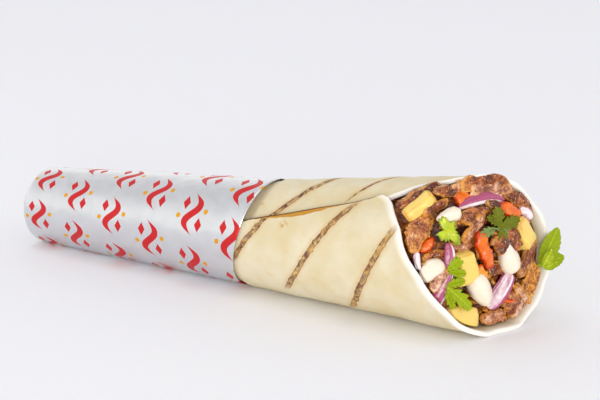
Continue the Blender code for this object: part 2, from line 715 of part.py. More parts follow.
clear_scene()
sandwich = bpy.data.collections.new("shawarma_sandwich")
bpy.context.scene.collection.children.link(sandwich)
foil_sleeve()
bread_sheet("flatbread", 0.0, ROLL_ANGLE)
fit_together(
    leaves_and_herbs()
    + white_pieces()
    + fries()
    + tomatoes()
    + onions()
    + meat_slices()
    + [meat_heap()],
    room_for_bread(),
)
for obj in sandwich.objects:
    obj.matrix_world = Matrix.Translation(CENTRING) @ obj.matrix_world
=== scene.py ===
"""The looks of a shawarma sandwich: flatbread round meat, fries, vegetables and herbs, in a foil sleeve.

The roll lies along X on z = 0, with its closed end at -X and its mouth at +X, turned towards -Y. Angles round
the roll run from the near side, -Y, up over the top. Lengths are in metres unless a name says otherwise.
"""

import json
import logging
import math
from dataclasses import dataclass, field
from enum import Enum
from typing import Any

import bpy
import numpy as np
from bpy.types import Material, NodeSocket, NodeTree, Object
from mathutils import Matrix, Vector, noise

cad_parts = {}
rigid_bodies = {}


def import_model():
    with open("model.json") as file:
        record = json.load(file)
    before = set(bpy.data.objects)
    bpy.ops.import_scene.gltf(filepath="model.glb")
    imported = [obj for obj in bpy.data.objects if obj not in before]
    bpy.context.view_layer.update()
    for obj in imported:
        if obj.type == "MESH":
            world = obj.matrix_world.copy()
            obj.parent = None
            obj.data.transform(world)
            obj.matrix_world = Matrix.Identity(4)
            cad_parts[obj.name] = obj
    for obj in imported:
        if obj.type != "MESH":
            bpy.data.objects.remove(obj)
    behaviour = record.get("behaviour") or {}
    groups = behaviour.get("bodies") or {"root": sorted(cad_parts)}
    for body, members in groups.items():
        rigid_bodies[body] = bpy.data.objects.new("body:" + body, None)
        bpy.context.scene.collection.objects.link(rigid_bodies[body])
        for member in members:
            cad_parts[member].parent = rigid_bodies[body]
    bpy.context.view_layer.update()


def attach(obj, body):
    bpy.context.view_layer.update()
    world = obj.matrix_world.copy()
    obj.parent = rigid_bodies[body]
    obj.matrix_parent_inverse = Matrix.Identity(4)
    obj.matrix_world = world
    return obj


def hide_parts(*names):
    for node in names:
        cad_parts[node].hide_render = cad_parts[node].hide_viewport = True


LOG = logging.getLogger("shawarma")
MM = 0.001
CENTRING = Vector((-0.2 * MM, -3.9 * MM, 0.0))  # where the roll's own axis starts in the row frame
Stops = tuple[tuple[float, str], ...]  # the places and hex colours of a colour ramp

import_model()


# ---------------------------------------------------------------- small helpers


def smooth_step(low: float, high: float, value: float) -> float:
    """0 below low, 1 above high, and a smooth rise between."""
    t = min(1.0, max(0.0, (value - low) / (high - low)))
    return t * t * (3 - 2 * t)


def fractal(point: Vector, octaves: int = 3) -> float:
    """Fractal noise of about -1 to 1 at a point given in units of its largest feature."""
    return noise.fractal(point, 1.0, 2.0, octaves)


def linear(colour: str) -> tuple[float, float, float, float]:
    """Turns an sRGB hex colour to linear light.

    Args:
        colour: six hex digits after a #.

    Returns:
        Red, green, blue and alpha.
    """
    parts = [int(colour[i : i + 2], 16) / 255 for i in (1, 3, 5)]
    return tuple(c / 12.92 if c <= 0.04045 else ((c + 0.055) / 1.055) ** 2.4 for c in parts) + (1.0,)


def round_degrees(angle: float) -> float:
    """An angle in degrees, from -120 to 240."""
    return (math.degrees(angle) + 120) % 360 - 120


def named(obj: Object, name: str) -> Object:
    """Names an object and its mesh.

    Args:
        obj: the object.
        name: the name of both.

    Returns:
        The object.
    """
    obj.name = name
    obj.data.name = name
    return obj


def select_only(obj: Object) -> None:
    """Clears the selection but for one object, and makes that active.

    Args:
        obj: the object to select.
    """
    for other in bpy.context.view_layer.objects:
        other.select_set(False)
    obj.select_set(True)
    bpy.context.view_layer.objects.active = obj


def set_points(obj: Object, points: list[Vector]) -> None:
    """Moves every vertex of obj to the point of the same number."""
    obj.data.vertices.foreach_set("co", np.array(points, np.float32).ravel())
    obj.data.update()


def set_value(obj: Object, name: str, values: list[float]) -> None:
    """Stores one number for each vertex of obj, for its material to read."""
    attribute = obj.data.attributes.new(name, "FLOAT", "POINT")
    attribute.data.foreach_set("value", np.array(values, np.float32))


def close_up(obj: Object, distance: float = 0.01 * MM) -> None:
    """Merges the doubles of a wrapped grid, turns its faces outwards and shades it smooth.

    Args:
        obj: the wrapped grid.
        distance: how near each other doubles lie.
    """
    select_only(obj)
    bpy.ops.object.mode_set(mode="EDIT")
    bpy.ops.mesh.select_all(action="SELECT")
    bpy.ops.mesh.remove_doubles(threshold=distance)
    bpy.ops.mesh.dissolve_degenerate(threshold=distance / 2)
    bpy.ops.mesh.normals_make_consistent(inside=False)
    bpy.ops.object.mode_set(mode="OBJECT")
    bpy.ops.object.shade_smooth()


def flat_grid(name: str, columns: int, rows: int) -> tuple[Object, list[tuple[float, float]]]:
    """Adds a flat grid to be shaped.

    Args:
        name: the new object's name.
        columns: faces along it.
        rows: faces across it.

    Returns:
        The object, and each vertex's place along and across it, from 0 to 1.
    """
    bpy.ops.mesh.primitive_grid_add(x_subdivisions=columns, y_subdivisions=rows, size=1.0)
    obj = named(bpy.context.active_object, name)
    return obj, [(v.co.x + 0.5, v.co.y + 0.5) for v in obj.data.vertices]


def apply_modifier(obj: Object, kind: str, **settings: Any) -> None:
    """Adds a modifier and applies it.

    Args:
        obj: the object that it changes.
        kind: the modifier's type.
        settings: its properties.
    """
    select_only(obj)
    modifier = obj.modifiers.new(kind, kind)
    for key, value in settings.items():
        setattr(modifier, key, value)
    bpy.ops.object.modifier_apply(modifier=modifier.name)


def finish_piece(obj: Object, finish: Material, slot: str, *nodes: str) -> None:
    """Dresses a finished piece and lets it ride on the sandwich.

    Args:
        obj: the piece, in place.
        finish: its material.
        slot: the record's material slot; not used.
        nodes: the CAD nodes that it stands for.
    """
    obj.data.materials.clear()
    obj.data.materials.append(finish)
    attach(obj, "root")
    if nodes:
        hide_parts(*nodes)
    LOG.info("%s: %d faces", obj.name, len(obj.data.polygons))


# ---------------------------------------------------------------- the roll's geometry


@dataclass(frozen=True)
class Roll:
    """The tapered roll that sleeve and bread lie on."""

    closed_end: float = -151 * MM
    sleeve_edge: float = 0.5 * MM
    edge_radius: float = 28.9 * MM
    taper: float = 0.0485
    flare: float = 0.16 / (1000 * MM)
    flat: float = 0.9 * MM
    sleeve_slant: float = 6.3 * MM
    seam_at_sleeve: float = math.radians(27.5)
    seam_twist: float = math.radians(0.47) / MM
    seam_corner: float = 82.5 * MM
    roll_angle: float = math.radians(425)
    furthest_reach: float = 146 * MM
    furthest_at: float = math.radians(215)
    reach_skew: float = 1.1
    bread: float = 2.6 * MM
    gap: float = 0.4 * MM
    tuck_start: float = math.radians(285)
    tuck_end: float = math.radians(350)
    crest_height: float = 4.2 * MM
    crest_along: tuple[float, float] = (8 * MM, 85 * MM)
    crest_round: tuple[float, float, float, float] = (52, 84, 96, 140)
    hollow: float = 34 * MM
    hollow_start: float = math.radians(327)
    hollow_end: float = math.radians(380)

    def radius(self, x: float) -> float:
        """The roll's outer radius at x."""
        return self.edge_radius + self.taper * x + self.flare * max(0.0, x - self.sleeve_edge) ** 2

    def crest(self, x: float, angle: float) -> float:
        """Says how far the filling props the bread up, on top towards the mouth.

        Args:
            x: place along the roll.
            angle: place round it.

        Returns:
            The rise.
        """
        rise, full, still_full, fall = self.crest_round
        turned = math.degrees(angle) % 360
        shape = smooth_step(rise, full, turned) * smooth_step(fall, still_full, turned)
        return self.crest_height * smooth_step(*self.crest_along, x) * shape

    def point(self, x: float, angle: float, inset: float, floor: float = 0.0) -> Vector:
        """Finds a point on the roll.

        Args:
            x: place along the roll.
            angle: place round it.
            inset: how far in from the outer radius.
            floor: the least height.

        Returns:
            The point, in the row frame.
        """
        radius = self.radius(x) + self.crest(x, angle) - inset
        height = self.radius(x) - self.flat + radius * math.sin(angle)
        return Vector((x, -radius * math.cos(angle), max(height, floor))) + CENTRING

    def sleeve_end(self, angle: float) -> float:
        """Where the sleeve ends, round the roll."""
        return self.sleeve_edge + self.sleeve_slant * math.sin(angle)

    def seam_angle(self, x: float) -> float:
        """Where the bread's outer edge lies round the roll."""
        return self.seam_at_sleeve + self.seam_twist * min(max(0.0, x), self.seam_corner)

    def rim_reach(self, rolled: float) -> float:
        """How far forward the sheet reaches, by roll angle from its outer edge."""
        turn = math.pi / 2 * (max(0.0, rolled) / self.furthest_at) ** self.reach_skew
        return self.seam_corner + (self.furthest_reach - self.seam_corner) * math.sin(turn)

    def hollowed(self, rolled: float) -> float:
        """How much less far the inner layer reaches, where it passes under the outer corner."""
        return self.hollow * smooth_step(self.hollow_start, self.hollow_end, rolled)

    def tuck(self, rolled: float) -> float:
        """How far in the sheet lies, by roll angle from its outer edge."""
        return (self.bread + self.gap) * smooth_step(self.tuck_start, self.tuck_end, rolled)

    def held_in(self, point: Vector, over: float = -0.5 * MM, soft: float = 1.6 * MM) -> Vector:
        """Pulls a point of the filling in until the bread has room for it.

        Args:
            point: the point, in the row frame.
            over: how far past the roll's radius it may stand in front of the bread's edge.
            soft: the depth over which it is slowed down.

        Returns:
            The point in its new place.
        """
        spot = point - CENTRING
        axis = self.radius(spot.x) - self.flat
        height = spot.z - axis
        away = math.hypot(spot.y, height)
        turned = (self.seam_angle(spot.x) - math.atan2(height, -spot.y)) % math.tau
        second = turned + math.tau
        doubled = second < self.roll_angle and spot.x < self.rim_reach(second) - self.hollowed(second)
        room = self.bread + self.gap + self.tuck(second if doubled else turned)
        free = smooth_step(-1 * MM, 3 * MM, spot.x - self.rim_reach(turned) + self.hollowed(turned))
        crest = self.crest(spot.x, math.atan2(height, -spot.y))
        limit = self.radius(spot.x) + crest - room * (1 - free) + over * free
        if away <= limit - soft:
            return point
        scale = (limit - soft * math.exp((limit - soft - away) / soft)) / away
        return Vector((spot.x, spot.y * scale, max(3.6 * MM, axis + height * scale))) + CENTRING


@dataclass(frozen=True)
class Mouth:
    """The slanting open end, and the front of the filling in it."""

    roll: Roll
    centre: Vector = Vector((126.5 * MM, 0.0, 36.4 * MM))
    radius: float = 32.4 * MM
    bulge: float = 3.0 * MM
    set_back: float = 1.0 * MM
    shoulder: float = 0.55
    normal: Vector = Vector((1.0, -0.48, 0.165)).normalized()

    @property
    def up(self) -> Vector:
        """The plane's own upward axis."""
        return (Vector((0, 0, 1)) - self.normal.z * self.normal).normalized()

    @property
    def across(self) -> Vector:
        """The plane's own axis to the right, seen from outside."""
        return self.up.cross(self.normal)

    def plane_x(self, y: float, z: float) -> float:
        """The x of the mouth's plane at a place of the cross-section."""
        drop = self.normal.y * (y - self.centre.y) + self.normal.z * (z - self.centre.z)
        return self.centre.x - drop / self.normal.x

    def front_x(self, y: float, z: float) -> float:
        """Says where the filling ends: at a bulging plane that falls back to the bread's edge.

        Args:
            y: place across the roll.
            z: place up it.

        Returns:
            The x of the front there.
        """
        height = z - self.centre.z
        share = max(0.1 * MM, math.hypot(y, height)) / self.radius
        rolled = (self.roll.seam_angle(self.roll.seam_corner) - math.atan2(height, -y)) % math.tau
        reach = self.roll.rim_reach(rolled)
        if rolled + math.tau < self.roll.roll_angle:
            reach = max(reach, self.roll.rim_reach(rolled + math.tau))
        at_edge = self.plane_x(y / share, height / share + self.centre.z)
        fall = max(0.0, at_edge - reach + self.set_back) * smooth_step(self.shoulder, 1.0, share)
        return self.plane_x(y, z) + self.bulge * (1 - min(1.15, share) ** 2) - fall

    def front(self, across: float, up: float) -> Vector:
        """The point of the filling's front at a place on the mouth's plane, in millimetres."""
        spot = self.centre + (self.across * across + self.up * up) * MM
        return Vector((self.front_x(spot.y, spot.z), spot.y, spot.z))

    def frame(
        self, across: float, up: float, out: float, turn: float = 0, tip: float = 0, lean: float = 0
    ) -> Matrix:
        """Finds where a piece lies in the mouth.

        Args:
            across: place on the filling's front, in millimetres to the right.
            up: the same, upwards.
            out: how far the piece's middle stands out of the front, in millimetres.
            turn: degrees about the way out of the mouth.
            tip: degrees about the piece's own length.
            lean: degrees about its width.

        Returns:
            The matrix that puts the piece there, in the row frame.
        """
        right = self.front(across + 3, up) - self.front(across - 3, up)
        above = self.front(across, up + 3) - self.front(across, up - 3)
        normal = right.cross(above).normalized()
        right.normalize()
        axes = Matrix((right, normal.cross(right), normal)).transposed().to_4x4()
        place = Matrix.Translation(CENTRING + self.front(across, up) + normal * out * MM) @ axes
        turned = Matrix.Rotation(math.radians(turn), 4, "Z") @ Matrix.Rotation(math.radians(lean), 4, "Y")
        return place @ turned @ Matrix.Rotation(math.radians(tip), 4, "X")


ROLL = Roll()
MOUTH = Mouth(ROLL)


# ---------------------------------------------------------------- finishes


class Kind(Enum):
    """The kinds of node.

    A value holds the node's type, its first inputs in order, the output that is used and the node's
    settings, or else it is an operation of the maths node.
    """

    ABSOLUTE = "ABSOLUTE"
    ADD = "ADD"
    COSINE = "COSINE"
    DIVIDE = "DIVIDE"
    FLOOR = "FLOOR"
    FRACT = "FRACT"
    LESS_THAN = "LESS_THAN"
    MAXIMUM = "MAXIMUM"
    MULTIPLY = "MULTIPLY"
    MULTIPLY_ADD = "MULTIPLY_ADD"
    SINE = "SINE"
    SQRT = "SQRT"
    SUBTRACT = "SUBTRACT"
    BLEND = ("Mix", (0, 6, 7), 2, {"data_type": "RGBA"})
    BUMP = ("Bump", ("Height",), 0, {})
    COMBINE = ("CombineXYZ", (0, 1, 2), 0, {})
    DISTANCE = ("VectorMath", (0, 1), "Value", {"operation": "DISTANCE"})
    GLOW = ("Background", ("Color", "Strength"), 0, {})
    HEIGHT = ("SeparateXYZ", (0,), "Z", {})
    NOISE = ("TexNoise", ("Vector", "Scale"), 0, {})
    PLACE = ("TexCoord", (), "Object", {})
    RAMP = ("ValToRGB", (0,), 0, {})
    RANGE = ("MapRange", (0, 1, 2, 3, 4), 0, {})
    SCALE = ("VectorMath", (0, 1), 0, {"operation": "MULTIPLY"})
    SHADER = ("BsdfPrincipled", (), 0, {})
    SURFACE = ("OutputMaterial", ("Surface",), None, {})
    VALUE = ("Attribute", (), "Fac", {})
    WAY = ("TexCoord", (), "Generated", {})
    WORLD = ("OutputWorld", ("Surface",), None, {})


def add(tree: NodeTree, kind: Kind, *values: Any, stops: Stops = (), **settings: Any) -> Any:
    """Adds a node with its settings and links.

    Args:
        tree: the nodes that it joins.
        kind: what kind of node it is.
        values: its first inputs in order, each a number, a hex colour or the output that feeds it.
        stops: a colour ramp's places and hex colours.
        settings: its own properties, and more inputs by name.

    Returns:
        The output that is used, or None for a node without one.
    """
    plain = ("Math", (0, 1, 2), 0, {"operation": kind.value})
    node_type, order, out, fixed = kind.value if isinstance(kind.value, tuple) else plain
    made = tree.nodes.new("ShaderNode" + node_type)
    for key, value in {**fixed, **settings, **dict(zip(order, values))}.items():
        if not isinstance(key, int) and key not in made.inputs:
            setattr(made, key, value)
        elif isinstance(value, NodeSocket):
            tree.links.new(value, made.inputs[key])
        else:
            made.inputs[key].default_value = linear(value) if isinstance(value, str) else value
    for number, (place, colour) in enumerate(stops):
        elements = made.color_ramp.elements
        element = elements[number] if number < 2 else elements.new(place)
        element.position = place
        element.color = linear(colour)
    return None if out is None else made.outputs[out]


def per(millimetres: float) -> float:
    """The scale of a pattern whose features are this far apart."""
    return 1 / (millimetres * MM)


@dataclass(frozen=True)
class Finish:
    """A finish: what every one of them has."""

    name: str = "finish"

    def start(self) -> tuple[Material, NodeTree, Any]:
        """Makes a new material.

        Returns:
            The material, its empty node tree, and the object's own coordinates.
        """
        material = bpy.data.materials.new(self.name)
        material.use_nodes = True
        tree = material.node_tree
        tree.nodes.clear()
        return material, tree, add(tree, Kind.PLACE)

    def end(self, tree: NodeTree, inputs: dict[str, Any]) -> None:
        """Closes the material with its shader and the shader's inputs."""
        add(tree, Kind.SURFACE, add(tree, Kind.SHADER, **inputs))


@dataclass(frozen=True)
class PrintedFoil(Finish):
    """Foil-lined paper, rolled smooth: satin silver with faint creases, whose shade is painted grey, printed
    in red and amber ink.

    The print repeats in cells, each with a wave, two leaves and two dots. Lengths are in millimetres.
    """

    name: str = "printed_foil_paper"
    silver: str = "#E4E5E7"
    # painted shade: the grey laid over the foil's creases
    painted_shade_grey: str = "#D2D2D4"
    red: str = "#CE1E22"
    amber: str = "#E2A010"
    cell_along: float = 27.0
    cell_round: float = 29.0
    cells_round: float = 6.0
    row_shift: float = 0.38
    swing_length: float = 21.0
    swing_width: float = 3.9
    stroke: float = 2.1
    stroke_fades: tuple[float, float] = (4.0, 12.4)
    leaf_at: tuple[float, float] = (5.2, -5.8)
    leaf_half: tuple[float, float] = (2.3, 3.9)
    dot_at: tuple[float, float] = (8.6, 1.6)
    dot_radius: float = 1.4
    crease_size: float = 16.0

    def build(self) -> Material:
        """Makes the material.

        Returns:
            The new material.
        """
        material, tree, where = self.start()
        along = add(tree, Kind.VALUE, attribute_name="print_along")
        turns = add(tree, Kind.VALUE, attribute_name="print_turn")
        column = add(tree, Kind.DIVIDE, along, self.cell_along)
        whole = add(tree, Kind.FLOOR, column)
        shift = add(tree, Kind.MULTIPLY, whole, self.row_shift)
        row = add(tree, Kind.MULTIPLY_ADD, turns, self.cells_round, shift)
        p = self.centred(tree, column, self.cell_along)
        q = self.centred(tree, row, self.cell_round)
        ribbon = self.ribbon(tree, p, q)
        sides = (1, -1)
        leaves = add(tree, Kind.MAXIMUM, *(self.leaf(tree, p, q, side) for side in sides))
        red = add(tree, Kind.MAXIMUM, ribbon, leaves)
        amber = add(tree, Kind.MAXIMUM, *(self.dot(tree, p, q, side) for side in sides))
        crease = add(tree, Kind.NOISE, where, per(self.crease_size), Detail=3.0, Distortion=1.2)
        # painted shade: the silver turns grey where the crease noise is high
        tint = add(tree, Kind.BLEND, crease, self.silver, self.painted_shade_grey)
        inked = add(tree, Kind.BLEND, red, tint, self.red)
        colour = add(tree, Kind.BLEND, amber, inked, self.amber)
        ink = add(tree, Kind.MAXIMUM, red, amber)
        metal = add(tree, Kind.RANGE, ink, 0.0, 1.0, 0.95, 0.45)
        satin = add(tree, Kind.RANGE, ink, 0.0, 1.0, 0.27, 0.4)
        relief = add(tree, Kind.BUMP, crease, Strength=0.18, Distance=0.4 * MM)
        self.end(tree, {"Base Color": colour, "Metallic": metal, "Roughness": satin, "Normal": relief})
        return material

    def centred(self, tree: NodeTree, count: Any, size: float) -> Any:
        """Millimetres from the middle of the print's cell, from a count of cells."""
        part = add(tree, Kind.FRACT, count)
        return add(tree, Kind.MULTIPLY_ADD, part, size, -size / 2)

    def ribbon(self, tree: NodeTree, p: Any, q: Any) -> Any:
        """Draws the wave, as wide as its stroke all along and pointed at its ends.

        Args:
            tree: the material's nodes.
            p: the place along the roll, from the cell's middle.
            q: the same, round the roll.

        Returns:
            The output that is 1 inside the wave.
        """
        swings = math.tau / self.swing_length
        swing = add(tree, Kind.MULTIPLY, q, swings)
        wave = add(tree, Kind.MULTIPLY, add(tree, Kind.SINE, swing), self.swing_width)
        slope = add(tree, Kind.MULTIPLY, add(tree, Kind.COSINE, swing), self.swing_width * swings)
        stretch = add(tree, Kind.SQRT, add(tree, Kind.MULTIPLY_ADD, slope, slope, 1.0))
        aside = add(tree, Kind.ABSOLUTE, add(tree, Kind.SUBTRACT, p, wave))
        apart = add(tree, Kind.DIVIDE, aside, stretch)
        reach = add(tree, Kind.ABSOLUTE, q)
        fades = (*self.stroke_fades, self.stroke, 0.0)
        width = add(tree, Kind.RANGE, reach, *fades, interpolation_type="SMOOTHSTEP")
        return add(tree, Kind.LESS_THAN, apart, width)

    def leaf(self, tree: NodeTree, p: Any, q: Any, side: int) -> Any:
        """Draws a leaf as a lozenge.

        Args:
            tree: the material's nodes.
            p: the place along the roll, from the cell's middle.
            q: the same, round the roll.
            side: 1 for the one leaf, -1 for the opposite one.

        Returns:
            The output that is 1 inside the leaf.
        """
        (x, y), (wide, high) = self.leaf_at, self.leaf_half
        aside = add(tree, Kind.ABSOLUTE, add(tree, Kind.SUBTRACT, p, side * x))
        above = add(tree, Kind.ABSOLUTE, add(tree, Kind.SUBTRACT, q, side * y))
        share = add(tree, Kind.DIVIDE, above, high)
        total = add(tree, Kind.MULTIPLY_ADD, aside, 1 / wide, share)
        return add(tree, Kind.LESS_THAN, total, 1.0)

    def dot(self, tree: NodeTree, p: Any, q: Any, side: int) -> Any:
        """Draws a round dot.

        Args:
            tree: the material's nodes.
            p: the place along the roll, from the cell's middle.
            q: the same, round the roll.
            side: 1 for the one dot, -1 for the opposite one.

        Returns:
            The output that is 1 inside the dot.
        """
        x, y = self.dot_at
        place = add(tree, Kind.COMBINE, p, q)
        apart = add(tree, Kind.DISTANCE, place, (side * x, side * y, 0.0))
        return add(tree, Kind.LESS_THAN, apart, self.dot_radius)


@dataclass(frozen=True)
class BakedFlatbread(Finish):
    """Thin wheat flatbread, griddled: matte cream dough, paler at the rim, where its near-white is also a
    painted highlight, with mottled scorch bars.
    """

    name: str = "griddled_flatbread"
    cream: str = "#D8C89F"
    pale: str = "#E1D7BA"
    warm: str = "#DCC084"
    # paler dough at the rim, whose near-white is also a painted highlight
    rim: str = "#FFFCF6"
    spot: str = "#C99658"
    toasted: str = "#D2A45C"
    outline: str = "#5A3A22"
    burnt: tuple[str, str] = ("#5F3A1B", "#C08A30")
    mottled: Stops = ((0.38, "#5A3122"), (0.46, "#8E7A68"), (0.53, "#C2924A"), (0.64, "#EBD29C"))
    streaked: Stops = ((0.4, "#74402A"), (0.47, "#9E8168"), (0.53, "#D0A452"), (0.6, "#8A5530"))
    bar_half_width: float = 1.6
    rim_width: float = 5.0
    halo_width: float = 2.5

    def build(self) -> Material:
        """Makes the material.

        Returns:
            The new material.
        """
        material, tree, where = self.start()
        names = ("bar_mm", "bar_fade", "seam_mm", "seam_toast", "rim_mm", "blush")
        bar, fade, seam, toast, rim, blush = (add(tree, Kind.VALUE, attribute_name=name) for name in names)
        broad = add(tree, Kind.NOISE, where, per(24), Detail=3.0)
        middle = add(tree, Kind.NOISE, where, per(7), Detail=3.0, Roughness=0.6)
        fine = add(tree, Kind.NOISE, where, per(1.9), Detail=4.0, Roughness=0.6)
        wobble = add(tree, Kind.NOISE, where, per(4.2), Detail=3.0, Roughness=0.6)
        clouds = add(tree, Kind.RANGE, broad, 0.36, 0.64)
        dough = add(tree, Kind.BLEND, clouds, self.cream, self.pale)
        warm = add(tree, Kind.RANGE, middle, 0.5, 0.72, 0.0, 0.35)
        dough = add(tree, Kind.BLEND, warm, dough, self.warm)
        spots = add(tree, Kind.RANGE, fine, 0.45, 0.62)
        spots = add(tree, Kind.MULTIPLY, spots, blush)
        dough = add(tree, Kind.BLEND, spots, dough, self.spot)
        # the rim's paler dough, with a painted highlight in its near-white
        edge = add(tree, Kind.RANGE, rim, 0.3, self.rim_width, 0.9, 0.0)
        dough = add(tree, Kind.BLEND, edge, dough, self.rim)
        ragged = add(tree, Kind.MULTIPLY_ADD, wobble, 2.6, -1.3)
        uneven = add(tree, Kind.ADD, bar, ragged)
        half = self.bar_half_width
        inside = add(tree, Kind.RANGE, uneven, half - 0.3, half, 1.0, 0.0)
        ring = add(tree, Kind.RANGE, uneven, half - 0.6, half - 0.3, 0.0, 0.8)
        mottled = add(tree, Kind.RAMP, fine, stops=self.mottled)
        streaks = add(tree, Kind.NOISE, where, per(9), Detail=1.0, Roughness=0.4)
        streaked = add(tree, Kind.RAMP, streaks, stops=self.streaked)
        patchy = add(tree, Kind.RANGE, middle, 0.42, 0.6, 0.1, 0.8)
        charred = add(tree, Kind.BLEND, patchy, streaked, mottled)
        charred = add(tree, Kind.BLEND, ring, charred, self.outline)
        shown = add(tree, Kind.MULTIPLY, inside, fade)
        halo = add(tree, Kind.RANGE, uneven, half, half + self.halo_width, 0.4, 0.0)
        halo = add(tree, Kind.MULTIPLY, halo, fade)
        toasted = add(tree, Kind.BLEND, halo, dough, self.toasted)
        colour = add(tree, Kind.BLEND, shown, toasted, charred)
        seam_off = add(tree, Kind.MULTIPLY_ADD, wobble, 1.6, seam)
        reached = add(tree, Kind.SUBTRACT, seam_off, toast)
        scorch = add(tree, Kind.RANGE, reached, 0.5, 0.85, 1.0, 0.0)
        line = add(tree, Kind.RANGE, seam, 0.9, 1.3)
        burnt = add(tree, Kind.BLEND, line, *self.burnt)
        colour = add(tree, Kind.BLEND, scorch, colour, burnt)
        grain = add(tree, Kind.BUMP, fine, Strength=0.4, Distance=0.35 * MM)
        soft = add(tree, Kind.BUMP, middle, Strength=0.5, Distance=0.8 * MM, Normal=grain)
        dent = add(tree, Kind.BUMP, shown, Strength=0.5, Distance=0.5 * MM, Normal=soft, invert=True)
        inputs = {
            "Base Color": colour,
            "Roughness": 0.7,
            "Subsurface Weight": 0.1,
            "Subsurface Radius": (1.0, 0.7, 0.4),
            "Subsurface Scale": 1.5 * MM,
            "Specular IOR Level": 0.3,
            "Normal": dent,
        }
        self.end(tree, inputs)
        return material


@dataclass(frozen=True)
class RoastMeat(Finish):
    """Shaved roast meat: moist, grainy and brown, golden and oily where browned, with painted shade in
    creases, a painted edge highlight, and specks of fat and painted glints.
    """

    name: str = "shaved_roast_meat"
    flesh: Stops = (
        (0.2, "#5E2402"),
        (0.36, "#8E4410"),
        (0.52, "#AC5C22"),
        (0.68, "#C87E46"),
        (0.88, "#F4C89C"),
    )
    rosy: Stops = ((0.3, "#8A5440"), (0.5, "#C08A74"), (0.75, "#EBCDB8"))
    roast: Stops = ((0.34, "#8A4A04"), (0.45, "#BC6C04"), (0.57, "#DC8E12"), (0.7, "#F8CE68"))
    # painted highlight: the pale golden line along each slice's edge
    torn: str = "#F0B45E"
    # cream specks: partly fat, partly painted glints
    fat_and_glint: str = "#FBE3C4"
    # painted shade: the dark brown laid over creases and hollows, where shade falls
    crease: str = "#3A1405"
    fibre_scale: tuple[float, float, float] = (0.3, 0.62, 1.0)
    patch_mm: float = 6.0
    grain_mm: float = 1.5
    speck_mm: float = 1.0

    def build(self) -> Material:
        """Makes the material.

        Returns:
            The new material.
        """
        material, tree, where = self.start()
        names = ("browned", "crease", "tone", "torn_edge", "fibre_along", "fibre_across")
        values = (add(tree, Kind.VALUE, attribute_name=name) for name in names)
        browned, crease, tone, torn, along, aside = values
        fibre = add(tree, Kind.COMBINE, along, aside, tone)
        fibre = add(tree, Kind.SCALE, fibre, self.fibre_scale)
        strand = add(tree, Kind.NOISE, fibre, 1.0, Detail=4.0, Roughness=0.65, Distortion=0.5)
        broad = add(tree, Kind.NOISE, where, per(self.patch_mm), Detail=2.0, Roughness=0.5)
        fine = add(tree, Kind.NOISE, where, per(self.grain_mm), Detail=4.0, Roughness=0.6, Distortion=0.4)
        speck = add(tree, Kind.NOISE, where, per(self.speck_mm), Detail=3.0, Roughness=0.7)
        shade = broad
        for pattern, weight in ((strand, 0.55), (fine, 0.6), (speck, 0.35), (tone, -0.25)):
            shade = add(tree, Kind.MULTIPLY_ADD, pattern, weight, shade)
        shade = add(tree, Kind.RANGE, shade, 0.84, 1.62)
        flesh = add(tree, Kind.RAMP, shade, stops=self.flesh)
        rosy = add(tree, Kind.RAMP, shade, stops=self.rosy)
        paler = add(tree, Kind.RANGE, tone, 0.3, -0.3, 0.0, 0.6)
        flesh = add(tree, Kind.BLEND, paler, flesh, rosy)
        roast = add(tree, Kind.RAMP, fine, stops=self.roast)
        patches = add(tree, Kind.MULTIPLY_ADD, broad, 1.2, browned)
        share = add(tree, Kind.RANGE, patches, 1.0, 1.5)
        colour = add(tree, Kind.BLEND, share, flesh, roast)
        # painted highlight: a pale golden line along the slices' edges
        torn = add(tree, Kind.RANGE, torn, 0.25, 0.75, 0.0, 0.55)
        colour = add(tree, Kind.BLEND, torn, colour, self.torn)
        # pale specks, fat and painted glints, fewer where the meat is browned
        fat_and_glint = add(tree, Kind.RANGE, speck, 0.6, 0.66, 0.0, 0.6)
        unbrowned = add(tree, Kind.RANGE, share, 0.0, 1.0, 1.0, 0.3)
        fat_and_glint = add(tree, Kind.MULTIPLY, fat_and_glint, unbrowned)
        colour = add(tree, Kind.BLEND, fat_and_glint, colour, self.fat_and_glint)
        # painted shade: creases and hollows are darkened towards a dark brown
        colour = add(tree, Kind.BLEND, crease, colour, self.crease)
        coarse = add(tree, Kind.BUMP, fine, Strength=0.45, Distance=0.5 * MM)
        relief = add(tree, Kind.BUMP, speck, Strength=0.5, Distance=0.25 * MM, Normal=coarse)
        gloss = add(tree, Kind.RANGE, broad, 0.4, 0.6, 0.3, 0.5)
        inputs = {
            "Base Color": colour,
            "Roughness": gloss,
            "Subsurface Weight": 0.08,
            "Subsurface Radius": (1.0, 0.4, 0.25),
            "Subsurface Scale": 1.0 * MM,
            "Specular IOR Level": 0.35,
            "Coat Weight": 0.35,
            "Coat Roughness": 0.1,
            "Normal": relief,
        }
        self.end(tree, inputs)
        return material


